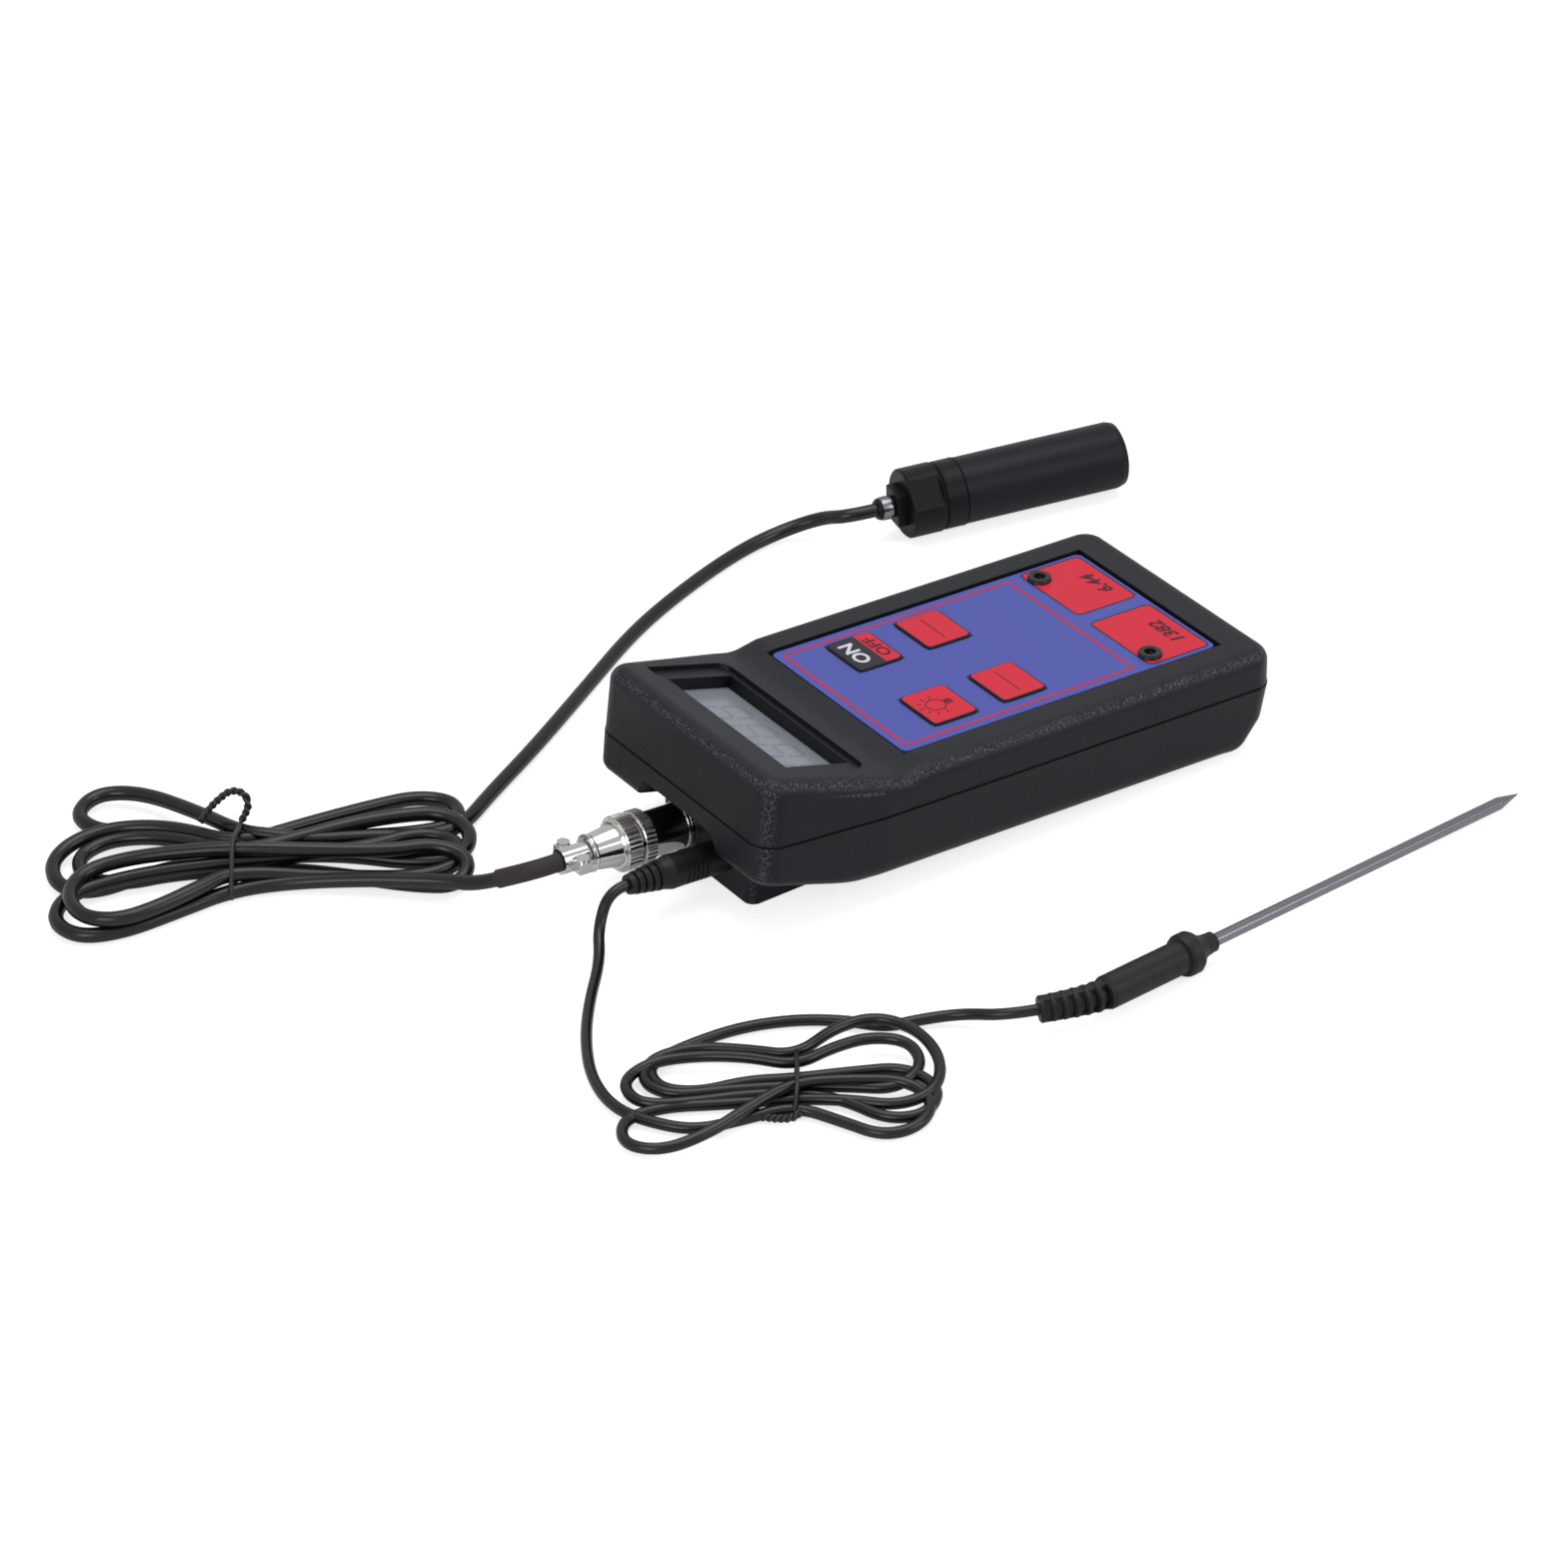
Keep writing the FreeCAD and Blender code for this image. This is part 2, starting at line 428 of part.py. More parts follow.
# Electrode connector, turned parts; y = 0 on the pocket's back wall.
PX = "Sizes.port_x"
socket_shell = put(spin("socket_shell", PX, [
    (3.9, -8), (5.4, -8), (5.4, 0), (7.0, 0), (7.0, 1.6), (4.8, 1.6), (4.8, 10.6), (3.9, 10.6)]), "port")
socket_nut = put(spin("socket_nut", PX, [(5.4, -5.0), (7.6, -5.0), (7.6, -2.25), (5.4, -2.25)]), "port")
socket_insert = put(spin("socket_insert", PX, [(0, -7.5), (3.9, -7.5), (3.9, 4.0), (0, 4.0)]), "port")
plug_insert = put(spin("plug_insert", PX, [(0, 4.0), (3.8, 4.0), (3.8, 20.0), (0, 20.0)]), "port")
coupling_nut = put(spin("coupling_nut", PX, [
    (4.85, 1.9), (6.2, 1.9), (6.2, 13.3), (7.2, 13.5), (7.2, 16.6), (7.0, 16.8), (4.45, 16.8), (4.45, 11.0), (4.85, 11.0)]), "port")
shell_turned = spin("plug_turned", PX, [
    (3.8, 11.2), (4.4, 11.2), (4.4, 17.0), (6.0, 17.0), (6.0, 17.8), (7.2, 18.0), (7.2, 22.0), (6.9, 22.3), (5.8, 22.3),
    (4.6, 31.0), (3.4, 31.0), (3.4, 39.4), (2.0, 39.4), (2.0, 24.0), (0, 24.0), (0, 20.0), (3.8, 20.0)])
half_off = box("saddle_off", 0.0, 20.0, 31.0, 40.0, -0.1, 8.0)
ear_low = box("ear_low", "Sizes.port_x - 6.3", "Sizes.port_x + 6.3", 33.0, 37.0, -1.6, -0.1)
ear_bore = spin("ear_bore", PX, [(0, 24), (2.0, 24), (2.0, 41), (0, 41)])
ear_ways = [rod("ear_way_a", 1.0, "Sizes.port_x - 4.7", 35.0, -2, 0), rod("ear_way_b", 1.0, "Sizes.port_x + 4.7", 35.0, -2, 0)]
plug_shell = put(cut("plug_shell", join("plug_both", [cut("plug_half", shell_turned, [half_off]), ear_low]),
                     [ear_bore] + ear_ways), "port")
clamp_turned = spin("clamp_turned", PX, [(2.0, 31.2), (3.4, 31.2), (3.4, 39.2), (2.0, 39.2)])
clamp_half = cut("clamp_half", clamp_turned, [box("clamp_off", 0.0, 20.0, 30.0, 41.0, -8.0, -0.1)])
ear_high = box("ear_high", "Sizes.port_x - 6.3", "Sizes.port_x + 6.3", 33.0, 37.0, -0.1, 1.4)
cable_clamp = put(cut("cable_clamp", join("clamp_both", [clamp_half, ear_high]), [
    spin("clamp_bore", PX, [(0, 24), (2.0, 24), (2.0, 41), (0, 41)]),
    rod("cw_a", 1.0, "Sizes.port_x - 4.7", 35.0, -2, 3), rod("cw_b", 1.0, "Sizes.port_x + 4.7", 35.0, -2, 3)]), "port")
clamp_screws = []
for tag, off in (("near", " - 4.7"), ("far", " + 4.7")):
    clamp_screws.append(put(join("clamp_screw_" + tag, [
        rod("ch_" + tag, 1.7, PX + off, 35.0, 1.4, 2.6), rod("ct_" + tag, 1.0, PX + off, 35.0, -1.6, 1.4)]), "port"))

# Temperature connector.
JX = "-Sizes.port_x"
temp_jack = put(spin("temp_jack", JX, [
    (0, -12), (4.5, -12), (4.5, -2.2), (3.0, -2.2), (3.0, 1.0), (1.75, 1.0), (1.75, -10.5), (0, -10.5)]), "port")
temp_jack_nut = put(spin("temp_jack_nut", JX, [(3.0, 0), (4.3, 0), (4.3, 1.0), (3.0, 1.0)]), "port")
temp_plug_pin = put(spin("temp_plug_pin", JX, [(0, -9.5), (1.0, -9.5), (1.7, -8.5), (1.7, 3.0), (0, 3.0)]), "port")
ribs = [(0, 3.0), (1.7, 3.0), (1.7, 1.2), (4.4, 1.2), (4.5, 8.4)]
for i in range(5):
    ribs += [(4.2, 8.4 + 1.4 * i), (4.2, 9.0 + 1.4 * i), (4.5, 9.0 + 1.4 * i), (4.5, 9.8 + 1.4 * i)]
ribs += [(4.6, 18.0), (3.9, 20.7)]
for i in range(4):
    r = 3.9 - 0.27 * i
    ribs += [(r, 22.1 + 2.1 * i), (r - 0.75, 22.1 + 2.1 * i), (r - 0.75, 22.8 + 2.1 * i), (r - 0.2, 22.8 + 2.1 * i)]
ribs += [(2.6, 30.5), (0, 30.5)]
temp_plug = put(spin("temp_plug", JX, ribs), "port")


def stand(thing, base, rotation):
    thing.Placement = FreeCAD.Placement(base, rotation)
    return thing


# Electrode lying on the floor; local y runs from its cable end to its open end.
ELECTRODE_AT = V(size("electrode_x"), size("electrode_y"), size("cap_r"))
ELECTRODE_TURN = FreeCAD.Rotation(V(0, 0, 1), size("electrode_turn"))
cap_turned = spin("ec_turned", 0, [
    (0, 3), (2.5, 3), (2.5, 0), ("Sizes.cap_r - 0.6", 0), ("Sizes.cap_r", 0.6), ("Sizes.cap_r", 9.6), ("Sizes.cap_r - 0.7", 10.5), (8.5, 10.5), (8.5, 16.5), (7.6, 16.5), (7.6, 20), (0, 20)])
flat = box("ec_flat", 8.9, 14.0, -1.0, 9.4, -8.0, 8.0)
flat.setExpression("Placement.Base.x", None)
flat.setExpression("Placement.Base.y", None)
flat.setExpression("Placement.Base.z", None)
turn = FreeCAD.Rotation(V(0, 1, 0), -40)
flat.Placement = FreeCAD.Placement(turn.multVec(V(8.9, -1.0, -8.0)), turn)
electrode_cap = stand(cut("electrode_cap", cap_turned, [flat]), ELECTRODE_AT, ELECTRODE_TURN)
electrode_seal = stand(spin("electrode_seal", 0, [(8.5, 10.5), (9.5, 10.5), (9.8, 11.0), (9.8, 16.3), (9.6, 16.5), (8.5, 16.5)]),
                       ELECTRODE_AT, ELECTRODE_TURN)
electrode_sleeve = stand(spin("electrode_sleeve", 0, [
    (7.6, 16.5), ("Sizes.tube_r - 0.2", 16.5), ("Sizes.tube_r", 16.8), ("Sizes.tube_r", "Sizes.tube_end - 2"),
    ("Sizes.tube_r - 0.5", "Sizes.tube_end - 0.3"), ("Sizes.tube_r - 1.1", "Sizes.tube_end"), (7.6, "Sizes.tube_end")]), ELECTRODE_AT, ELECTRODE_TURN)
electrode_core = stand(spin("electrode_core", 0, [(0, 20), (7.6, 20), (7.6, 57), (0, 57)]), ELECTRODE_AT, ELECTRODE_TURN)
pins = []
for tag, off in (("a", 3.0), ("b", -3.0)):
    pins.append(stand(spin("electrode_pin_" + tag, off, [(0, 57), (1.5, 57), (1.5, 62.5), (1.1, 63), (0, 63)]),
                      ELECTRODE_AT, ELECTRODE_TURN))
gland_block = box("eg_block", -4.2, 4.2, -3.0, 0.0, -4.8, 4.8)
gland_turned = spin("eg_turned", 0, [(0, -8), (2.7, -8), (3.1, -7.4), (3.1, -3), (2.5, -3), (2.5, 3), (0, 3)])
electrode_gland = stand(join("electrode_gland", [gland_block, gland_turned]), ELECTRODE_AT, ELECTRODE_TURN)

# Temperature probe; local y runs from the boot to the tip.
PROBE_COLLAR = V(size("probe_x"), size("probe_y"), size("probe_z"))
PROBE_TIP = V(size("tip_x"), size("tip_y"), 1.55)
probe_dir = (PROBE_TIP - PROBE_COLLAR).normalize()
PROBE_TURN = FreeCAD.Rotation(V(0, 1, 0), probe_dir)
PROBE_AT = PROBE_COLLAR - probe_dir * 27.8
nose_end = 37.1
probe_handle = stand(spin("probe_handle", 0, [
    (0, 0), (4.0, 0), (4.45, 0.5), (4.45, 25.4), (5.3, 25.7), (5.7, 26.6), (5.7, 29.2), (5.2, 30.1), (3.9, 31.4), (3.0, 33.4),
    (2.7, 36.0), (2.7, 36.8), (2.4, nose_end), (1.45, nose_end), (1.45, 27.0), (0, 27.0)]), PROBE_AT, PROBE_TURN)
needle_end = "%.2f + Sizes.needle_long" % nose_end
probe_needle = stand(spin("probe_needle", 0, [
    (0, 27.0), (1.45, 27.0), (1.45, nose_end + 0.5), ("Sizes.needle_r", nose_end + 0.5), ("Sizes.needle_r", needle_end + " - 7"), (0.15, needle_end), (0, needle_end)]),
    PROBE_AT, PROBE_TURN)


# Cords: straight runs joined by tangent arcs.
def route_wire(points):
    n = len(points)
    edges = []
    start = points[0]
    for i in range(1, n - 1):
        a, b, c = points[i - 1], points[i], points[i + 1]
        u = (b - a).normalize()
        w = (c - b).normalize()
        turn_angle = u.getAngle(w)
        run = min((b - a).Length, (c - b).Length)
        set_back = 0.45 * run
        p = b - u * set_back
        q = b + w * set_back
        radius = set_back / math.tan(turn_angle / 2)
        bisector = (w - u).normalize()
        centre = b + bisector * (radius / math.cos(turn_angle / 2))
        middle = centre - bisector * radius
        if (p - start).Length > 1e-6:
            edges.append(Part.LineSegment(start, p).toShape())
        edges.append(Part.Arc(p, middle, q).toShape())
        start = q
    edges.append(Part.LineSegment(start, points[-1]).toShape())
    return Part.Wire(edges)


def swept(points, radius):
    wire = route_wire(points)
    along = (points[1] - points[0]).normalize()
    ring = Part.Wire(Part.makeCircle(radius, points[0], along))
    return wire.makePipeShell([ring], True, True)


def cord(name, points, radius):
    thing = doc.addObject("Part::Feature", name)
    thing.Shape = swept(points, radius)
    print("cord", name, "radius", radius, "length %.1f" % route_wire(points).Length)
    return thing


def port_point(x, y, z):
    """A point of the port frame in the room."""
    by = worth(PLACES["port"][0])
    bz = worth(PLACES["port"][1])
    a = math.radians(size("tilt") + size("port_lean"))
    return V(x, by + y * math.cos(a) - z * math.sin(a), bz + y * math.sin(a) + z * math.cos(a))


cable_r = size("cable_r")
lead_r = size("lead_r")
S0 = port_point(size("port_x"), 39.4, 0)
S1 = port_point(size("port_x"), 47.6, 0)
M = V(22.0, 70.2, 6.6)
E1 = S1 + (M - S1) * 0.6
F = V(28.6, 74.1, 6.6)
sleeve_core = Part.makeCylinder(2.0, 15.4, port_point(size("port_x"), 24.0, 0), (S1 - S0).normalize())
sleeve = doc.addObject("Part::Feature", "shrink_sleeve")
sleeve.Shape = swept([S0, S1, E1], 2.5).fuse(sleeve_core).removeSplitter()
tds_lead_in = cord("tds_cable_in", [E1, M, F], cable_r)


def hank(name, centre, u, pts, high, exits):
    """Tied hank as one closed plate-like solid; pts are (along, across) from its centre."""
    v = V(u.y, -u.x, 0)
    corners = [centre + u * a + v * b for a, b in pts]
    corners = [V(c.x, c.y, 0) for c in corners]
    face = Part.Face(Part.makePolygon(corners + [corners[0]]))
    body = face.extrude(V(0, 0, high))
    for point, direction in exits:
        normal = V(direction.x, direction.y, 0).normalize()
        notch = 9.0
        tool = Part.makeBox(notch, 12.0, 30.0, V(-notch / 2, 0, -5))
        tool.Placement = FreeCAD.Placement(V(point.x, point.y, 0), FreeCAD.Rotation(V(0, 1, 0), normal)).multiply(tool.Placement)
        body = body.cut(tool)
    thing = doc.addObject("Part::Feature", name)
    thing.Shape = body
    return thing, v


def band(name, centre, u, v, along, half, low, high, wide=3.0, thick=0.8):
    """Tie round a hank."""
    outer = Part.makeBox(2 * half + 2 * thick, wide, high - low + 2 * thick, V(-half - thick, -wide / 2, low - thick))
    inner = Part.makeBox(2 * half, wide + 2, high - low, V(-half, -wide / 2 - 1, low))
    shape = outer.cut(inner)
    spot = centre + u * along
    shape.Placement = FreeCAD.Placement(V(spot.x, spot.y, 0), FreeCAD.Rotation(V(0, 1, 0), u)).multiply(shape.Placement)
    thing = doc.addObject("Part::Feature", name)
    thing.Shape = shape
    return thing


B0 = V(52.9, 55.5, 2.6)
B1 = V(62.0, 41.0, 2.6)
back_route = [B0, B1, V(74.0, 19.6, 2.0), V(91.5, -8.8, 2.0), V(108.5, -36.0, 2.0), V(119.5, -62.0, 2.0),
              V(126.4, -84.0, 2.0), V(127.3, -99.0, 2.6), V(121.0, -108.2, 6.4)]
cord_end = ELECTRODE_AT + ELECTRODE_TURN.multVec(V(0, -8, 0))
cord_near = ELECTRODE_AT + ELECTRODE_TURN.multVec(V(0, -17, 0))
back_route += [cord_near, cord_end]
hank_c = V(size("tds_tie_x"), size("tds_tie_y"), 0)
hank_u = V(0.604, 0.797, 0).normalize()
hank_pts = [(-3, -11), (-16, -12), (-42, -13), (-58, -15), (-61, -2), (-61, 24), (-51, 34), (-40, 35), (-26, 27), (-14, 20), (-3, 11),
            (3, 11), (14, 19), (24, 31), (34, 33), (44, 25), (48.5, 11), (48.5, -13), (44, -28), (34, -32), (24, -29), (14, -17), (3, -11)]
tds_hank, hank_v = hank("tds_hank", hank_c, hank_u, hank_pts, 10.0, [(F, M - F), (B0, B1 - B0)])
tds_tie = band("tds_tie", hank_c, hank_u, hank_v, 0.0, 11.0, 0.8, 9.2)
cord("tds_cable_out", back_route, cable_r)

T0 = port_point(-size("port_x"), 30.5, 0)
T1 = port_point(-size("port_x"), 36.0, 0)
G = V(-83.5, 90.6, 2.0)
temp_route = [T0, T1, V(-11.5, 55.0, 5.0), V(-20.5, 60.5, 1.8), V(-33.5, 72.3, 1.5), V(-46.4, 82.0, 1.5), V(-61.0, 90.0, 1.7),
              V(-74.0, 92.9, 2.0), G]
cord("temp_cable_in", temp_route, lead_r)
D0 = V(-87.6, 19.5, 2.0)
K0 = PROBE_AT
K1 = K0 - probe_dir * 11.7
K2 = V(-109.9, -12.0, 6.3)
D3 = K2 + (K2 - K1).normalize() * 9.0
out_route = [D0, V(-90.3, 10.5, 2.0), V(-95.5, 1.5, 2.8), D3, K2]
cord("temp_cable_out", out_route, lead_r)
temp_c = V(size("temp_tie_x"), size("temp_tie_y"), 0)
temp_u = V(-0.601, -0.799, 0).normalize()
temp_pts = [(-3, 11), (-12, 20), (-24, 28), (-34, 29), (-40, 22), (-40, -2), (-34, -13), (-24, -16), (-14, -21), (-8, -19), (-3, -11),
            (3, -11), (8, -20), (12, -25), (20, -28), (27, -27), (33, -17), (36, -6), (36, 12), (32, 21), (22, 24), (12, 21), (3, 11)]
temp_hank, temp_v = hank("temp_hank", temp_c, temp_u, temp_pts, 6.5,
                         [(G, V(-74.0, 92.9, 2.0) - G), (D0, V(-90.3, 10.5, 2.0) - D0)])
temp_tie = band("temp_tie", temp_c, temp_u, temp_v, 0.0, 11.0, 0.8, 5.7)

# The tied solids are notched so that each tie lies in its groove.
for body, c, u, half, high in ((tds_hank, hank_c, hank_u, 11.0, 10.0), (temp_hank, temp_c, temp_u, 11.0, 6.5)):
    place = FreeCAD.Placement(V(c.x, c.y, 0), FreeCAD.Rotation(V(0, 1, 0), u))
    for z0, z1 in ((-1.0, 0.8), (high - 0.8, high + 1)):
        groove = Part.makeBox(2 * half + 8, 3.0, z1 - z0, V(-half - 4, -1.5, z0))
        groove.Placement = place.multiply(groove.Placement)
        body.Shape = body.Shape.cut(groove)

# Bent ribbed boot between cable and handle.
boot_wire = route_wire([K0, K1, K2])
boot = swept([K0, K1, K2], 2.9)
marks = boot_wire.discretize(Distance=0.5)
for i in range(6):
    k = 3 + 5 * i
    if k + 1 < len(marks):
        here = V(marks[k])
        ahead = (V(marks[k + 1]) - here).normalize()
        boot = boot.fuse(Part.makeCylinder(3.85 - 0.14 * i, 1.5, here - ahead * 0.75, ahead))
probe_boot = doc.addObject("Part::Feature", "probe_boot")
probe_boot.Shape = boot.removeSplitter()

NODES = ["upper_case", "lower_case", "battery_cover", "battery_screw", "battery_9v", "battery_snap", "main_board",
         "membrane_overlay", "lcd_frame", "lcd_glass", "display_board", "socket_shell", "socket_nut", "socket_insert",
         "plug_insert", "coupling_nut", "plug_shell", "cable_clamp", "clamp_screw_near", "clamp_screw_far",
         "shrink_sleeve", "temp_jack", "temp_jack_nut", "temp_plug_pin", "temp_plug", "tds_cable_in", "tds_hank",
         "tds_tie", "tds_cable_out", "electrode_gland", "electrode_cap", "electrode_seal", "electrode_sleeve",
         "electrode_core", "electrode_pin_a", "electrode_pin_b", "temp_cable_in", "temp_hank", "temp_tie",
         "temp_cable_out", "probe_boot", "probe_handle", "probe_needle"]
NODES += ["case_screw_%d" % i for i in (1, 2, 3, 4)]
NODES += ["%s_%s" % (kind, key) for kind in ("key", "tact_switch") for key in key_spots]
NODES += ["%s_%s" % (kind, side) for kind in ("trimmer_rotor", "cal_grommet") for side in cal_spots]

doc.recompute()
bad = [o.Name for o in doc.Objects if "Invalid" in o.State or "Error" in o.State]
print("objects", len(doc.Objects), "bad", bad)
total = 0.0
lowest = 1e9
for name in NODES:
    node = doc.getObject(name)
    node.Label = name
    shape = node.Shape
    if shape.isNull() or not shape.isValid() or len(shape.Solids) != 1:
        bad.append(name)
        print("check", name, shape.isNull(), not shape.isNull() and shape.isValid(), len(shape.Solids))
    if name in bad:
        continue
    total += shape.Volume
    lowest = min(lowest, shape.optimalBoundingBox().ZMin)
    shape.exportStep("parts/%s.step" % name)
print("nodes", len(NODES), "volume %.0f mm3" % total, "lowest z %.3f" % lowest, "trouble", bad)
for name in ("upper_case", "lower_case", "electrode_cap", "probe_handle"):
    print(name, doc.getObject(name).Shape.optimalBoundingBox())
if bad:
    raise SystemExit("parts not sound: %s" % bad)
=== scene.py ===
# %% [markdown]
# # Handheld TDS meter with electrode and temperature probe
# A bent two-shell housing with a raised display, four keys and two calibration screws. A dip
# electrode hangs on a screw-locked round connector and a needle probe on a small jack, each on its
# own tied cable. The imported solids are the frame. This scene gives them their finishes, prints the
# label, adds the forms that are too fine for the solids and lays the two cables.

# %% Setup
import math
import bpy
import bmesh
from mathutils import Matrix, Vector


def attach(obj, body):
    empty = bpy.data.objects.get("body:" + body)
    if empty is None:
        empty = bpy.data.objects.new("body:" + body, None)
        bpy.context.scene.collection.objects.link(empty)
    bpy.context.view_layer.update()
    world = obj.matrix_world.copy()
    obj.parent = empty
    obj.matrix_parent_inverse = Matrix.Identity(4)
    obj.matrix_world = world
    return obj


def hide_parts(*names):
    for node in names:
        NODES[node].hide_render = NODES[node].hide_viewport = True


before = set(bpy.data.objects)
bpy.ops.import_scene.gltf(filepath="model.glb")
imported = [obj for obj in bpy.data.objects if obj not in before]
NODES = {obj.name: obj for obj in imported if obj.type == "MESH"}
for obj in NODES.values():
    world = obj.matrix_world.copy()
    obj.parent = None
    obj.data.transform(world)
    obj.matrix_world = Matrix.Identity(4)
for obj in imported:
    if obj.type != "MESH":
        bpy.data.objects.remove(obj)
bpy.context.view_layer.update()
scene = bpy.context.scene
MM = 0.001

# %% [markdown]
# ## Frames of the object
# The housing is measured lying flat, but it stands tilted on its foot block. Four matrices carry
# millimetres of each part into the room in metres: the housing, its connector wall, its display and
# the two loose probes. Every table below is then as readable as a drawing.

# %% Frames of the object
TILT = math.atan(8.2 / 145.7)
LEAN = math.radians(1.5)
SLOPE = math.atan((38.9 - 28.3) / (80.0 - 38.5))
METRES = Matrix.Scale(MM, 4)
HOUSING = METRES @ Matrix.Rotation(TILT, 4, "X") @ Matrix.Translation((0, -58.5, 7.384))
PORT = HOUSING @ Matrix.Translation((0, 72.8, 1.8)) @ Matrix.Rotation(LEAN, 4, "X")
DISPLAY = HOUSING @ Matrix.Translation((0, 56.875, 32.993)) @ Matrix.Rotation(SLOPE, 4, "X")
ELECTRODE = METRES @ Matrix.Translation((108.5, -126.6, 10.0)) @ Matrix.Rotation(math.radians(167.9), 4, "Z")
probe_collar = Vector((-111.8, -56.1, 5.75))
probe_along = (Vector((-100.4, -175.2, 1.55)) - probe_collar).normalized()
probe_start = probe_collar - probe_along * 27.8
SOCKET = PORT @ Matrix.Translation((9.2, 0, 0))
print("tilt", round(math.degrees(TILT), 2), "display slope", round(math.degrees(SLOPE), 2))

# %% [markdown]
# ## Camera
# The photograph is a product view from the near left with a long lens. The camera comes first,
# because the cables are judged against its view.

# %% Camera
camera_data = bpy.data.cameras.new("camera")
camera_data.lens = 144.24
camera_data.sensor_width = 36.0
camera_data.clip_start = 0.05
camera = bpy.data.objects.new("camera", camera_data)
camera_right = Vector((-0.57062, -0.82078, -0.02678))
camera_up = Vector((0.43036, -0.32665, 0.84148))
camera_back = Vector((-0.69941, 0.46864, 0.53962))
turned_view = Matrix((camera_right, camera_up, camera_back)).transposed().to_4x4()
camera.matrix_world = Matrix.Translation((-1.1404, 0.75311, 0.89674)) @ turned_view
scene.collection.objects.link(camera)
scene.camera = camera
scene.view_settings.view_transform = "Standard"
print("camera", [round(v, 3) for v in camera.location])

# %% [markdown]
# ## Shader helpers
# Colours are written as sRGB hex, as a colour card would give them, and turned to linear in one
# place. One small function adds any node with its settings and links, for shaders and for
# geometry alike. A finish could be painted or scanned; it is worked out from noise in object
# coordinates here, so it stays on the piece from every side.

# %% Shader helpers
# A face is flat where its normal keeps this share of one axis, and fully turned below the second; the painted highlight
# grows between them.
FLAT, TURNED = 0.95, 0.78


def colour(text, alpha=1.0):
    """Linear colour of an sRGB hex text."""
    parts = [int(text[i:i + 2], 16) / 255 for i in (0, 2, 4)]
    return [c / 12.92 if c <= 0.04045 else ((c + 0.055) / 1.055) ** 2.4 for c in parts] + [alpha]


def node(tree, kind, settings=None, *sources, **links):
    """Add a node; settings are its values, sources and links its inputs, in order or by name."""
    made = tree.nodes.new(kind)
    for name, value in (settings or {}).items():
        if name in made.inputs:
            made.inputs[name].default_value = value
        else:
            setattr(made, name, value)
    for place, source in enumerate(sources):
        tree.links.new(source, made.inputs[place])
    for name, source in links.items():
        tree.links.new(source, made.inputs[name.replace("_", " ")])
    return made


def finish(name, base, rough=0.4, metal=0.0, grain=0.0, grain_size=0.4, tint=None, tint_size=6.0,
           spread=0.0, gloss=0.5, painted_glint=None):
    """Surface with a fine grain (mm deep, mm wide), a slow tint, a varying roughness and a painted highlight on turned
    faces.
    """
    mat = bpy.data.materials.new(name)
    mat.use_nodes = True
    tree = mat.node_tree
    shader = tree.nodes["Principled BSDF"]
    for key, value in (("Base Color", colour(base)), ("Roughness", rough), ("Metallic", metal),
                       ("Specular IOR Level", gloss)):
        shader.inputs[key].default_value = value
    place = node(tree, "ShaderNodeTexCoord")
    slow = node(tree, "ShaderNodeTexNoise", {"Scale": 1 / (tint_size * MM), "Detail": 3.0},
                Vector=place.outputs["Object"])
    if tint:
        mix = node(tree, "ShaderNodeMix", {"data_type": "RGBA"})
        mix.inputs[6].default_value = colour(base)
        mix.inputs[7].default_value = colour(tint)
        tree.links.new(slow.outputs["Fac"], mix.inputs[0])
        tree.links.new(mix.outputs[2], shader.inputs["Base Color"])
    if spread:
        varied = node(tree, "ShaderNodeMapRange", {"To Min": rough - spread, "To Max": rough + spread},
                      Value=slow.outputs["Fac"])
        tree.links.new(varied.outputs["Result"], shader.inputs["Roughness"])
    if grain:
        fine = node(tree, "ShaderNodeTexNoise", {"Scale": 1 / (grain_size * MM), "Detail": 2.0, "Roughness": 0.6},
                    Vector=place.outputs["Object"])
        bump = node(tree, "ShaderNodeBump", {"Strength": 1.0, "Distance": grain * MM}, Height=fine.outputs["Fac"])
        tree.links.new(bump.outputs["Normal"], shader.inputs["Normal"])
    if painted_glint:
        # Painted highlight: light specks mixed into the base colour where the surface turns away from the part's flat
        # sides, standing in for grain catching the lamps.
        facing = node(tree, "ShaderNodeNewGeometry")
        level = node(tree, "ShaderNodeVectorMath", {"operation": "ABSOLUTE"}, facing.outputs["Normal"])
        parts = node(tree, "ShaderNodeSeparateXYZ", {}, level.outputs[0])
        wider = node(tree, "ShaderNodeMath", {"operation": "MAXIMUM"}, parts.outputs["X"], parts.outputs["Y"])
        widest = node(tree, "ShaderNodeMath", {"operation": "MAXIMUM"}, wider.outputs[0], parts.outputs["Z"])
        edge = node(tree, "ShaderNodeMapRange", {"From Min": FLAT, "From Max": TURNED}, widest.outputs[0])
        peak = node(tree, "ShaderNodeMapRange", {"From Min": 0.5, "From Max": 0.62}, fine.outputs["Fac"])
        amount = node(tree, "ShaderNodeMath", {"operation": "MULTIPLY"}, edge.outputs[0], peak.outputs[0])
        painted_glint_mix = node(tree, "ShaderNodeMix", {"data_type": "RGBA"})
        tree.links.new(mix.outputs[2], painted_glint_mix.inputs[6])
        painted_glint_mix.inputs[7].default_value = colour(painted_glint)
        tree.links.new(amount.outputs[0], painted_glint_mix.inputs[0])
        tree.links.new(painted_glint_mix.outputs[2], shader.inputs["Base Color"])
    mat.diffuse_color = colour(base)
    return mat
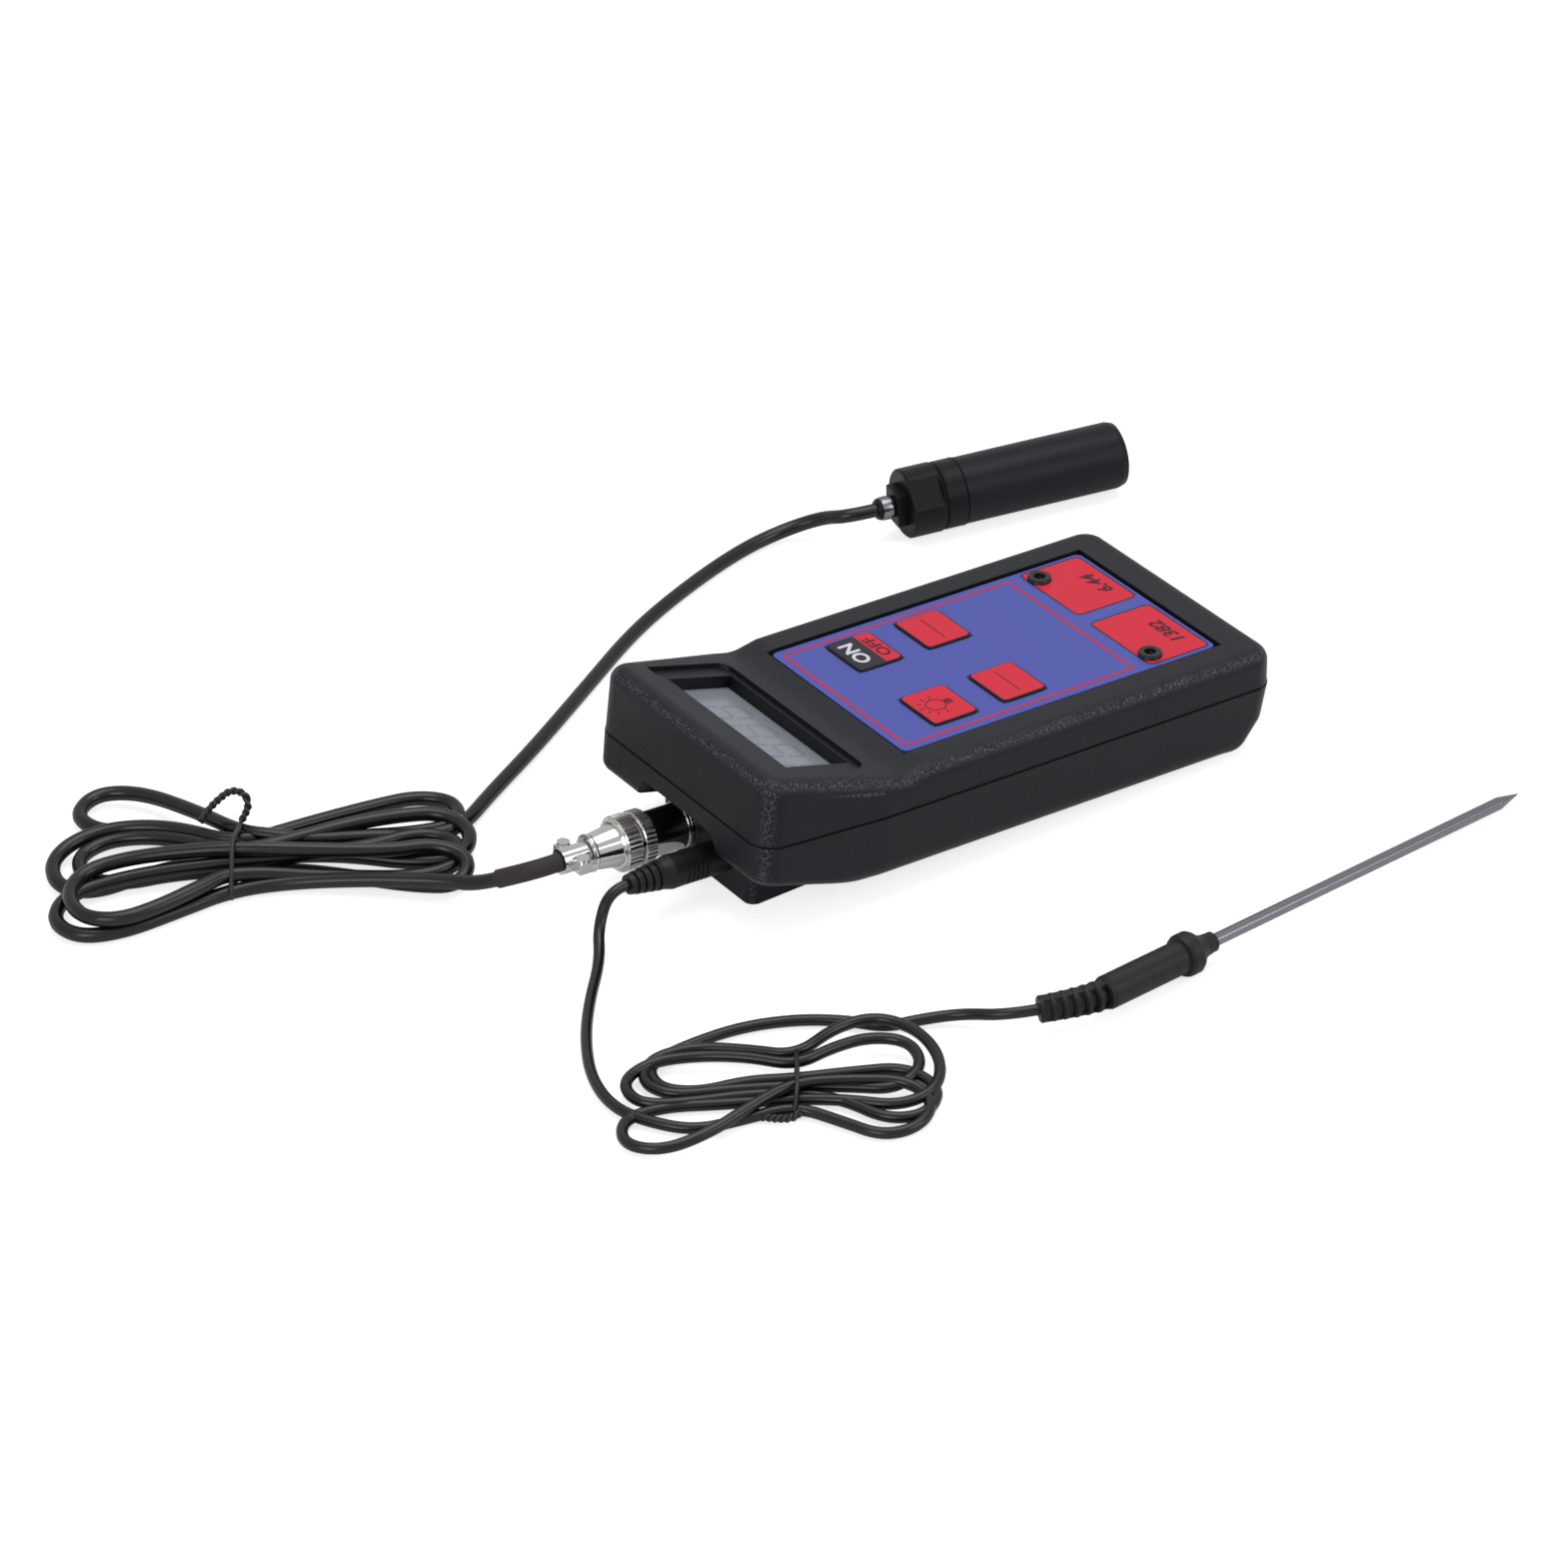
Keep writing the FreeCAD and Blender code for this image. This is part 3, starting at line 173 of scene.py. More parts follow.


# %% [markdown]
# ## Plastics, inks and metals
# The shells are black ABS from a spark-eroded mould, which breaks every highlight into fine
# speckle. The label is screen-printed polycarbonate film. Cables and boots are soft PVC, waxy
# rather than dull. The connector is chrome plate over brass, the needle ground steel.

# %% Plastics, inks and metals
# Spark-eroded ABS: charcoal, with light specks painted on the rounded edges as highlight where its grain catches the
# lamps. The real grain is about a third as wide; it is drawn coarse enough to show from a metre away.
case_abs = finish("case_abs", "1b1c22", 0.4, grain=0.14, grain_size=0.5, tint="16171c", spread=0.05, gloss=0.24,
                  painted_glint="5a5b63")
# The joint between the shells is a step, its shade painted near black.
joint_shadow = finish("joint_shadow", "050506", 0.8, tint="08080a", gloss=0.1)
# Printed polycarbonate label: violet blue, red and near-black inks, satin.
label_film = finish("label_film", "5159b0", 0.4, grain=0.004, grain_size=0.5, tint="555eb6", tint_size=20.0,
                    gloss=0.3)
ink_red = finish("ink_red", "e6283e", 0.42, tint="e02f44", tint_size=15.0, gloss=0.25)
ink_frame = finish("ink_frame", "bf3355", 0.42, tint="c4395a", tint_size=10.0, gloss=0.25)
ink_dark = finish("ink_dark", "1e1d27", 0.42, tint="24232d", tint_size=5.0, gloss=0.3)
ink_white = finish("ink_white", "ecebf2", 0.45, tint="e2e2ea", tint_size=8.0, gloss=0.25)
ink_legend = finish("ink_legend", "4a1222", 0.45, tint="541627", tint_size=4.0, gloss=0.25)
# Black ABS of the display surround, matt with a fine grain.
black_abs = finish("black_abs", "09090c", 0.45, grain=0.01, grain_size=0.3, tint="0e0e12", gloss=0.3)
# Glass over a silver-grey liquid crystal film, with the figures faint in it.
lcd_film = finish("lcd_film", "8a8e97", 0.16, tint="9a9ea7", tint_size=22.0, gloss=0.4)
lcd_segment = finish("lcd_segment", "80858e", 0.2, tint="888d96", tint_size=4.0, gloss=0.4)
# Soft PVC of plug, boots and handle.
soft_pvc = finish("soft_pvc", "141419", 0.48, grain=0.01, grain_size=0.5, tint="111116", spread=0.06, gloss=0.35)
# Cable jackets: black PVC with a waxy gloss.
jacket_pvc = finish("jacket_pvc", "0c0c11", 0.26, grain=0.006, grain_size=0.8, tint="14141b", tint_size=9.0,
                    spread=0.08, gloss=0.45)
# Heat-shrunk sleeve, brown-grey and matt.
shrink_tube = finish("shrink_tube", "3e373c", 0.6, grain=0.012, grain_size=0.5, tint="352f34", gloss=0.25)
# Electrode body: satin black plastic, the tube a shade lighter than its cap.
electrode_abs = finish("electrode_abs", "17181d", 0.38, grain=0.006, grain_size=0.35, tint="1d1e24", spread=0.08,
                       gloss=0.18)
cap_abs = finish("cap_abs", "0f0f14", 0.38, grain=0.006, grain_size=0.35, tint="151519", spread=0.06, gloss=0.18)
# Metals: chrome plate, ground steel, brass, and a trimmer's brass screw painted dark for the shade inside its grommet.
chrome = finish("chrome", "d9d8d6", 0.09, 1.0, tint="cfcdca", tint_size=4.0, spread=0.03)
knurl_chrome = finish("knurl_chrome", "e0dbd4", 0.3, 1.0, tint="d2ccc4", tint_size=3.0, spread=0.05)
steel = finish("steel", "8d8e93", 0.2, 1.0, grain=0.003, grain_size=0.25, tint="7e7f84", spread=0.05)
brass = finish("brass", "b78f4a", 0.3, 1.0, tint="a8803e")
dark_brass = finish("dark_brass", "1c1915", 0.5, 0.6, tint="26211b", tint_size=2.0)
# Inside: board lacquer, battery can, grommet rubber and the wire of the ties.
board_lacquer = finish("board_lacquer", "1d5a35", 0.35, tint="1a4f30", tint_size=8.0)
battery_can = finish("battery_can", "3b3c46", 0.35, 0.5, tint="44454f", tint_size=12.0)
grommet_rubber = finish("grommet_rubber", "08080b", 0.35, tint="0d0d11", gloss=0.5)
tie_wire = finish("tie_wire", "2d292b", 0.5, grain=0.02, grain_size=0.6, tint="3a3433", tint_size=2.0, gloss=0.4)
print("finishes", len(bpy.data.materials))

# %% [markdown]
# ## Finishes on the solids
# A solid keeps its mesh and gets its finish in an object slot, so that the frame itself stays as
# it was packed.

# %% Finishes on the solids
CAD_FINISHES = {
    case_abs: ("upper_case", "lower_case", "battery_cover"),
    label_film: ("membrane_overlay",),
    ink_red: ("key_power", "key_mode", "key_light", "key_unit"),
    black_abs: ("lcd_frame", "battery_snap", "socket_insert", "plug_insert", "temp_jack", "electrode_core",
                "tact_switch_power", "tact_switch_mode", "tact_switch_light", "tact_switch_unit"),
    lcd_film: ("lcd_glass",),
    soft_pvc: ("temp_plug", "probe_handle", "probe_boot"),
    shrink_tube: ("shrink_sleeve",),
    electrode_abs: ("electrode_sleeve",),
    cap_abs: ("electrode_gland", "electrode_cap", "electrode_seal"),
    chrome: ("socket_shell", "plug_shell", "coupling_nut", "cable_clamp", "clamp_screw_near", "clamp_screw_far"),
    steel: ("battery_screw", "case_screw_1", "case_screw_2", "case_screw_3",
            "case_screw_4", "probe_needle", "electrode_pin_a", "electrode_pin_b"),
    brass: ("socket_nut", "temp_jack_nut", "temp_plug_pin"),
    # The trimmer screws carry the painted shade of their grommets' holes.
    dark_brass: ("trimmer_rotor_far", "trimmer_rotor_near"),
    board_lacquer: ("main_board", "display_board"),
    battery_can: ("battery_9v",),
    grommet_rubber: ("cal_grommet_far", "cal_grommet_near"),
    jacket_pvc: ("tds_cable_in", "tds_hank", "tds_cable_out", "temp_cable_in", "temp_hank", "temp_cable_out"),
    tie_wire: ("tds_tie", "temp_tie"),
}
for mat, names in CAD_FINISHES.items():
    for name in names:
        body = NODES[name]
        if not body.material_slots:
            body.data.materials.append(mat)
        for place in body.material_slots:
            place.link = "OBJECT"
            place.material = mat
print("dressed solids", sum(len(names) for names in CAD_FINISHES.values()))

# %% [markdown]
# ## Mesh helpers
# Most small forms here are flat prints, turned rings or prisms. Each helper draws one of these in
# a part's own millimetres, moves the points to the room and turns the faces outward, so the object
# itself stays at the origin.

# %% Mesh helpers
def add_piece(name, mesh, mat, body="meter"):
    """Finish a mesh piece: its material and its ride."""
    mesh.materials.clear()
    mesh.materials.append(mat)
    piece = bpy.data.objects.new(name, mesh)
    scene.collection.objects.link(piece)
    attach(piece, body)
    return piece


def baked(name, place, bm):
    """Mesh of a bmesh, moved to the room, with its faces outward."""
    bmesh.ops.recalc_face_normals(bm, faces=bm.faces)
    bmesh.ops.transform(bm, matrix=place, verts=bm.verts)
    mesh = bpy.data.meshes.new(name)
    bm.to_mesh(mesh)
    bm.free()
    return mesh


def rounded(x0, x1, y0, y1, r, steps=6):
    """Corner points of a rounded rectangle, anticlockwise."""
    points = []
    for cx, cy, start in ((x1 - r, y1 - r, 0), (x0 + r, y1 - r, 90), (x0 + r, y0 + r, 180), (x1 - r, y0 + r, 270)):
        for k in range(steps + 1):
            a = math.radians(start + 90 * k / steps)
            points.append((cx + r * math.cos(a), cy + r * math.sin(a)))
    return points


def grown(outline, by):
    """Outline moved outward by a distance (inward when negative)."""
    n = len(outline)
    moved = []
    for i in range(n):
        before, after = Vector(outline[i - 1]), Vector(outline[(i + 1) % n])
        along = (after - before).normalized()
        moved.append((outline[i][0] + along.y * by, outline[i][1] - along.x * by))
    return moved


def stacked(name, place, rings, closed=False):
    """Skin over outlines of as many points, each at its height; closed joins the last to the first."""
    bm = bmesh.new()
    rows = [[bm.verts.new((x, y, z)) for x, y in line] for line, z in rings]
    n = len(rows[0])
    pairs = list(zip(rows, rows[1:])) + ([(rows[-1], rows[0])] if closed else [])
    for a, b in pairs:
        for i in range(n):
            bm.faces.new((a[i], a[(i + 1) % n], b[(i + 1) % n], b[i]))
    if not closed:
        bm.faces.new(rows[0])
        bm.faces.new(rows[-1])
    return baked(name, place, bm)


def printed(name, outline, low, high, mat, body="meter", place=HOUSING):
    """Flat print with that outline between two heights."""
    return add_piece(name, stacked(name, place, [(outline, low), (outline, high)]), mat, body)


def line_box(name, outline, wide, low, high, mat, place=HOUSING):
    """Printed line round an outline, growing outward."""
    outer = grown(outline, wide)
    rings = [(outline, low), (outer, low), (outer, high), (outline, high)]
    return add_piece(name, stacked(name, place, rings, True), mat)


def turned(name, place, profile, mat, body, steps=64):
    """Ring turned about the part's y axis from a closed profile of (radius, y)."""
    bm = bmesh.new()
    rows = []
    for k in range(steps):
        a = 2 * math.pi * k / steps
        rows.append([bm.verts.new((r * math.cos(a), y, r * math.sin(a))) for r, y in profile])
    n = len(profile)
    for k in range(steps):
        a, b = rows[k], rows[(k + 1) % steps]
        for i in range(n):
            bm.faces.new((a[i], a[(i + 1) % n], b[(i + 1) % n], b[i]))
    mesh = baked(name, place, bm)
    mesh.shade_smooth()
    mesh.set_sharp_from_angle(angle=math.radians(35))
    return add_piece(name, mesh, mat, body)


# %% [markdown]
# ## The tables of the two cables
# A tied hank is one length of cable folded back and forth. It could be drawn as loops laid over
# each other, but then the turns would not join. Here each cable is a single smooth line from its
# connector through every turn of its hank to its probe. Hank points are (along, across, height)
# from the tie, and the fold at each end is as wide as it is seen.

# %% The tables of the two cables
tds_tie_at = (71.4, 112.8)
tds_along, tds_across = (0.604, 0.797), (0.797, -0.604)
tds_turns = [
    (-38, -8, 4.4), (-16.5, -6, 2.4), (0, -9.5, 2.1),
    # long low loop on the left
    (13, -19.5, 2.1), (26, -29, 2.1), (37.5, -31.5, 2.1), (45, -24.5, 2.4), (43, -14.5, 3.2), (32, -8.5, 4),
    (18, -4.5, 4.8), (0, -2, 5.75),
    # short inner loop on the right
    (-16.5, 3, 4.5), (-34, 9.5, 3), (-45, 16.5, 2.5), (-56, 14.5, 2.1), (-58.5, 3, 2.1), (-48, -4, 2.1),
    (-26.5, -4, 2.3), (0, -6.3, 5.75),
    # broad loop on top, left
    (7, -14.5, 6.5), (17, -24, 6.5), (27, -30, 6.2), (37, -28, 6), (42, -17, 6), (38.5, -7.5, 6.5), (29, -3, 7.2),
    (16, -1.5, 8.4), (0, -1, 9.4),
    # straight strand over the middle, turning down and under on the right
    (-16.5, 0, 8.2), (-40, 2, 6.5), (-51, 6.5, 5.7), (-61, 2.5, 4.2), (-59, -8.5, 2.6), (-47, -7.5, 2.1),
    (-31, -3.5, 2.1), (-16.5, -0.5, 2.1), (0, 0, 2.1),
    # inner loop, left
    (16.5, -2, 2.1), (28, -6.5, 2.1), (38, -5.5, 2.1), (43, 4, 2.4), (35.5, 12.5, 3.2), (20, 12.5, 4.2),
    (0, 2.1, 5.75),
    # round end on the right
    (-16.5, 10, 5.8), (-28, 16, 5.8), (-41, 21.5, 5), (-52, 23.5, 4.4), (-60.5, 16, 3.2), (-58, 4.5, 2.4),
    (-45, 3, 2.1), (-30, 6.5, 2.1), (-16.5, 7, 2.1), (0, 4.2, 2.1),
    # outer loop, left
    (12, 3, 2.1), (24, -3, 2.1), (36, -11, 2.1), (45.5, -9, 2.4), (49, 1, 3.2), (44, 10.5, 4.2), (33, 16, 4.8),
    (18, 15, 5.4), (0, 6.3, 5.75),
    # raised loop, right
    (-16.5, 18, 4.5), (-33, 28.5, 3.2), (-44, 34.5, 2.3), (-54.5, 32, 2.1), (-56, 21.5, 2.1), (-44.5, 17, 2.1),
    (-28, 15.5, 2.1), (0, 8.4, 2.1),
    # upper loop, left, and away
    (14, 14, 2.1), (28, 18.5, 2.1), (38.5, 18, 2.1), (46, 25, 2.4), (41.5, 35, 3), (29, 34.5, 3.6), (13, 23, 5),
    (0, 11, 6.5), (-8, 9.5, 6.5), (-18, 9.5, 5), (-32, 14.5, 3), (-47, 15.5, 2.1),
]
temp_tie_at = (-94.6, 51.9)
temp_along, temp_across = (-0.601, -0.799), (-0.799, 0.601)
temp_turns = [
    (-24, 19, 1.6), (-12, 14, 1.6), (0, 8.5, 1.6),
    # lower loop, right
    (12, 15, 1.6), (22, 21, 1.6), (31, 17.5, 1.8), (34.5, 8, 2.4), (28, 0, 3.2), (15, 0.5, 4.0), (0, 2.5, 4.5),
    # low loop, left
    (-9, 11, 4.4), (-20, 22, 3.2), (-31, 28, 2.2), (-41, 25, 1.8), (-42, 14.5, 1.7), (-32, 9, 1.7), (-18, 8, 1.7),
    (0, 5.5, 1.6),
    # outer loop, right
    (13, 6.5, 2.0), (26, 10, 2.6), (35, 4, 3.2), (36, -8, 4), (30, -20, 4.4), (19.5, -26, 4.4), (9, -21, 4.4),
    (0, -8.5, 4.5),
    # upper loop, left
    (-12, -12.5, 3.6), (-26, -14.5, 3), (-36.5, -10, 2.6), (-38, -0.5, 2.2), (-30, 5, 2), (-17, 2, 1.8), (0, 0, 1.6),
    # inner loop, right
    (14, 1, 2), (25, 2.5, 2.4), (31.5, -6, 3.2), (28, -16, 3.8), (18, -17.5, 4), (9, -12.5, 4.4), (0, -4.5, 4.5),
    # inner loop, left
    (-12, -8.5, 4.4), (-25, -10, 3.6), (-36.5, -8, 3), (-43, 0.5, 2.8), (-38, 9.5, 2.6), (-26, 8, 2.3), (-13, 4.5, 2),
    (0, 3, 1.6),
    # short loop, right
    (12, 6, 1.8), (23, 14.5, 1.8), (33, 12.5, 2), (36, 2, 2.4), (27, -6.5, 2.6), (14, -5, 2.2), (0, -3, 1.6),
    # last loop, left, and away over the top
    (-12, -2, 1.6), (-24, 3, 1.6), (-34, 1, 1.6), (-37, -9, 1.6), (-28, -17, 1.6), (-15, -25, 1.6), (-1, -28.5, 1.6),
    (12, -28, 1.6),
]
print("hank points", len(tds_turns), len(temp_turns))

# %% [markdown]
# ## Laying the cables
# A cable bends in even curves, so each is one NURBS spline with the table's points as its control
# points and a round bevel. Its length is read from the same curve without the bevel.

# %% Laying the cables
TDS_ACROSS, TEMP_ACROSS = 0.004, 0.003  # jacket diameters


def spline_piece(name, points, radius, mat):
    """Cable along control points in metres."""
    data = bpy.data.curves.new(name, "CURVE")
    data.dimensions = "3D"
    data.bevel_depth = radius
    data.bevel_resolution = 4
    data.resolution_u = 8
    data.use_fill_caps = True
    line = data.splines.new("NURBS")
    line.points.add(len(points) - 1)
    for point, at in zip(line.points, points):
        point.co = (at[0], at[1], at[2], 1.0)
    line.order_u = 3
    line.use_endpoint_u = True
    data.materials.append(mat)
    piece = bpy.data.objects.new(name, data)
    scene.collection.objects.link(piece)
    return piece


def centre_line(piece):
    """Points along a spline, as the curve gives them without its bevel."""
    bare = piece.data.copy()
    bare.bevel_depth = 0.0
    probe = bpy.data.objects.new("measure", bare)
    mesh = bpy.data.meshes.new_from_object(probe)
    points = [v.co.copy() for v in mesh.vertices]
    bpy.data.objects.remove(probe)
    bpy.data.meshes.remove(mesh)
    bpy.data.curves.remove(bare)
    return points


def run_length(piece):
    """Length of a cable along its centre."""
    line = centre_line(piece)
    return sum((b - a).length for a, b in zip(line, line[1:]))


def laid(tie, along, across, points):
    """Room points of hank points measured from the tie."""
    return [Vector((tie[0] + along[0] * a + across[0] * b, tie[1] + along[1] * a + across[1] * b, z)) * MM
            for a, b, z in points]


def room(points):
    """Room points of points given in millimetres."""
    return [Vector(p) * MM for p in points]


port_lead = PORT @ Vector((9.2, 47.6, 0))
lead_turn = Vector((22.0, 70.2, 6.6)) * MM
tds_exit = port_lead + (lead_turn - port_lead) * 0.6
electrode_end = ELECTRODE @ Vector((0, -8, 0))
tds_route = [tds_exit, lead_turn, Vector((28.6, 74.1, 5.6)) * MM]
tds_route += laid(tds_tie_at, tds_along, tds_across, tds_turns)
tds_route += room([
    (52.9, 55.5, 2.1), (62.0, 41.0, 2.1), (74.0, 19.6, 2.0), (91.5, -8.8, 2.0), (108.5, -36.0, 2.0),
    (119.5, -62.0, 2.0), (126.4, -84.0, 2.0), (127.3, -99.0, 2.6), (121.0, -108.2, 6.4)])
tds_route += [ELECTRODE @ Vector((0, -17, 0)), electrode_end]
tds_cable = spline_piece("tds_cable", tds_route, TDS_ACROSS / 2, jacket_pvc)
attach(tds_cable, "meter")
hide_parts("tds_cable_in", "tds_hank", "tds_cable_out")

temp_exit = PORT @ Vector((-9.2, 30.5, 0))
cord_joint = Vector((-109.9, -12.0, 6.3))
boot_bend = probe_start - probe_along * 5.0
lead_dir = (cord_joint - boot_bend).normalized()
temp_route = [temp_exit, PORT @ Vector((-9.2, 36, 0))] + room([
    (-11.5, 55.0, 5.0), (-20.5, 60.5, 1.8), (-33.5, 72.3, 1.5), (-46.4, 82.0, 1.5), (-61.0, 90.0, 1.7),
    (-74.0, 92.9, 1.8), (-83.5, 90.6, 1.8)])
temp_route += laid(temp_tie_at, temp_along, temp_across, temp_turns)
temp_route += room([
    (-87.6, 19.5, 1.6), (-90.3, 10.5, 1.8), (-95.5, 1.5, 2.6), cord_joint + lead_dir * 9.0, cord_joint])
temp_cable = spline_piece("temp_cable", temp_route, TEMP_ACROSS / 2, jacket_pvc)
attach(temp_cable, "meter")
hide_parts("temp_cable_in", "temp_hank", "temp_cable_out")
print("tds cable", round(run_length(tds_cable), 4), "temp cable", round(run_length(temp_cable), 4))

# %% [markdown]
# ## Ties
# A wire is bent round each hank, covered in paper on the larger and in glossy black plastic on the
# smaller, and its ends are twisted together. The twist is two strands turning round one line, so the
# strands are worked out from that line point by point.

# %% Ties
def strands(name, points, count, radius, pitch, mat, node_name):
    """Wires twisted round a line of room points, one turn in each pitch; one wire is the line itself."""
    guide = spline_piece(name + "_line", points, 0.0, mat)
    line = centre_line(guide)
    bpy.data.objects.remove(guide)
    whole = bmesh.new()
    for k in range(count):
        data = bpy.data.curves.new(name, "CURVE")
        data.dimensions = "3D"
        data.bevel_depth = radius
        data.bevel_resolution = 3
        data.use_fill_caps = True
        wire = data.splines.new("POLY")
        wire.points.add(len(line) - 1)
        run = 0.0
        for i, at in enumerate(line):
            ahead = (line[min(i + 1, len(line) - 1)] - line[max(i - 1, 0)]).normalized()
            side = ahead.cross(Vector((0.31, 0.17, 0.93))).normalized()
            rise = side.cross(ahead)
            run += (at - line[max(i - 1, 0)]).length
            turn = 2 * math.pi * (run / pitch + k / count)
            off = (side * math.cos(turn) + rise * math.sin(turn)) * (radius if count > 1 else 0.0)
            wire.points[i].co = (*(at + off), 1.0)
        holder = bpy.data.objects.new(name, data)
        part = bpy.data.meshes.new_from_object(holder)
        whole.from_mesh(part)
        bpy.data.objects.remove(holder)
        bpy.data.meshes.remove(part)
    mesh = bpy.data.meshes.new(name)
    whole.to_mesh(mesh)
    whole.free()
    mesh.shade_smooth()
    piece = add_piece(name, mesh, mat, "meter")
    if node_name:
        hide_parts(node_name)
    return piece


WIRE, STRAND = 0.0006, 0.00055  # radius of the bent wire and of one twisted strand
tds_wire = strands("tds_tie_wire", laid(tds_tie_at, tds_along, tds_across, [
    (0, 0, 0.65), (0, -9, 0.65), (0, -12.6, 0.9), (0, -12.8, 4), (0, -8.5, 8), (0.2, -4, 11.2), (0.2, -0.5, 12.3),
    (0, 3.5, 11.2), (0, 8, 9.4), (0, 12.4, 8.6), (0, 14.6, 5.5), (0, 13.6, 0.9), (0, 9, 0.65), (0, 1, 0.65)]),
    1, WIRE, 1.0, tie_wire, "tds_tie")
tds_twist = strands("tds_tie_twist", laid(tds_tie_at, tds_along, tds_across, [
    (0, 12.6, 8.6), (-1.5, 14, 10.5), (-2.2, 15, 13), (-1, 16, 15.5), (2.5, 16.5, 16), (5.5, 15.5, 14),
    (8.5, 14, 11.5), (10.5, 12.5, 8.8)]), 2, STRAND, 0.0034, tie_wire, None)
temp_wire = strands("temp_tie_wire", laid(temp_tie_at, temp_along, temp_across, [
    (0, 0, 0.65), (0, 8, 0.65), (0, 11.8, 0.9), (0.3, 11.6, 3.2), (0.8, 8, 5.6), (0.8, 3, 6.7), (0.4, -4, 6.8),
    (0, -9.5, 6), (0, -12, 3), (0, -11.6, 0.9), (0, -8, 0.65), (0, 0, 0.65)]),
    1, WIRE, 1.0, jacket_pvc, "temp_tie")
temp_twist = strands("temp_tie_twist", laid(temp_tie_at, temp_along, temp_across, [
    (1.6, 12.4, 2.4), (0.6, 13.2, 1.9), (-1, 13.6, 1.5), (-3, 13.6, 1.4), (-5.5, 13.2, 1.3), (-8, 12.6, 1.25)]),
    2, STRAND, 0.003, tie_wire, None)

round(run_length(tds_cable), 3)
round(run_length(temp_cable), 3)

# %% [markdown]
# ## Ribs and knurls with Geometry Nodes
# Knurled rings and the ribs of a boot are one small form repeated by a rule, so a node tree draws
# them from named sizes. The first tree puts ridges round a ring, the second puts discs along a
# path, each a little smaller than the last. The result is made a plain mesh and the modifier goes.

# %% Ribs and knurls with Geometry Nodes
def tree_with(name, sockets):
    """Empty geometry tree with named inputs of the kinds given."""
    tree = bpy.data.node_groups.new(name, "GeometryNodeTree")
    tree.interface.new_socket("Geometry", in_out="OUTPUT", socket_type="NodeSocketGeometry")
    for label, kind in sockets:
        tree.interface.new_socket(label, in_out="INPUT", socket_type="NodeSocket" + kind)
    return tree


def grown_mesh(tree, values, place):
    """Plain mesh that a tree makes with these input values, moved to the room."""
    holder = bpy.data.objects.new(tree.name, bpy.data.meshes.new(tree.name))
    scene.collection.objects.link(holder)
    mod = holder.modifiers.new(tree.name, "NODES")
    mod.node_group = tree
    for item in tree.interface.items_tree:
        if item.item_type == "SOCKET" and item.in_out == "INPUT":
            mod[item.identifier] = values[item.name]
    seen = holder.evaluated_get(bpy.context.evaluated_depsgraph_get())
    mesh = bpy.data.meshes.new_from_object(seen)
    bpy.data.objects.remove(holder)
    if place is not None:
        mesh.transform(place)
    return mesh


ridge_tree = tree_with("ridges", (("Count", "Int"), ("Radius", "Float"), ("Width", "Float"), ("Depth", "Float"),
                                  ("Length", "Float"), ("Finish", "Material")))
given = node(ridge_tree, "NodeGroupInput").outputs
circle = node(ridge_tree, "GeometryNodeMeshCircle", Vertices=given["Count"], Radius=given["Radius"])
block_size = node(ridge_tree, "ShaderNodeCombineXYZ", X=given["Depth"], Y=given["Width"], Z=given["Length"])
block = node(ridge_tree, "GeometryNodeMeshCube", Size=block_size.outputs["Vector"])
ridge = node(ridge_tree, "GeometryNodeTransform", {"Rotation": (0, 0, math.radians(45))}, block.outputs["Mesh"])
outward = node(ridge_tree, "FunctionNodeAlignRotationToVector", {"axis": "X"},
               Vector=node(ridge_tree, "GeometryNodeInputPosition").outputs["Position"])
spread_out = node(ridge_tree, "GeometryNodeInstanceOnPoints", Points=circle.outputs["Mesh"],
                  Instance=ridge.outputs["Geometry"], Rotation=outward.outputs["Rotation"])
real = node(ridge_tree, "GeometryNodeRealizeInstances", Geometry=spread_out.outputs["Instances"])
dressed = node(ridge_tree, "GeometryNodeSetMaterial", Geometry=real.outputs["Geometry"], Material=given["Finish"])
node(ridge_tree, "NodeGroupOutput", Geometry=dressed.outputs["Geometry"])

rib_tree = tree_with("ribs", (("Path", "Object"), ("Count", "Int"), ("Radius", "Float"), ("Thickness", "Float"),
                              ("End Scale", "Float"), ("Finish", "Material")))
given = node(rib_tree, "NodeGroupInput").outputs
along_path = node(rib_tree, "GeometryNodeObjectInfo", Object=given["Path"])
spots = node(rib_tree, "GeometryNodeCurveToPoints", {"mode": "COUNT"}, Curve=along_path.outputs["Geometry"],
             Count=given["Count"])
disc = node(rib_tree, "GeometryNodeMeshCylinder", {"Vertices": 40}, Radius=given["Radius"], Depth=given["Thickness"])
shrink = node(rib_tree, "ShaderNodeMapRange", Value=node(rib_tree, "GeometryNodeInputIndex").outputs["Index"],
              From_Max=given["Count"], To_Max=given["End Scale"])
shrink.inputs["To Min"].default_value = 1.0
ribs_out = node(rib_tree, "GeometryNodeInstanceOnPoints", Points=spots.outputs["Points"],
                Instance=disc.outputs["Mesh"], Rotation=spots.outputs["Rotation"], Scale=shrink.outputs["Result"])
real = node(rib_tree, "GeometryNodeRealizeInstances", Geometry=ribs_out.outputs["Instances"])
dressed = node(rib_tree, "GeometryNodeSetMaterial", Geometry=real.outputs["Geometry"], Material=given["Finish"])
node(rib_tree, "NodeGroupOutput", Geometry=dressed.outputs["Geometry"])
print("trees", [tree.name for tree in bpy.data.node_groups])

# %% [markdown]
# ## The round connector
# The locking ring and the plug body each end in a straight knurl of fine ridges, and the rear cone
# ends in a turned lip. The solids carry the bodies, and these pieces add what a finger feels.

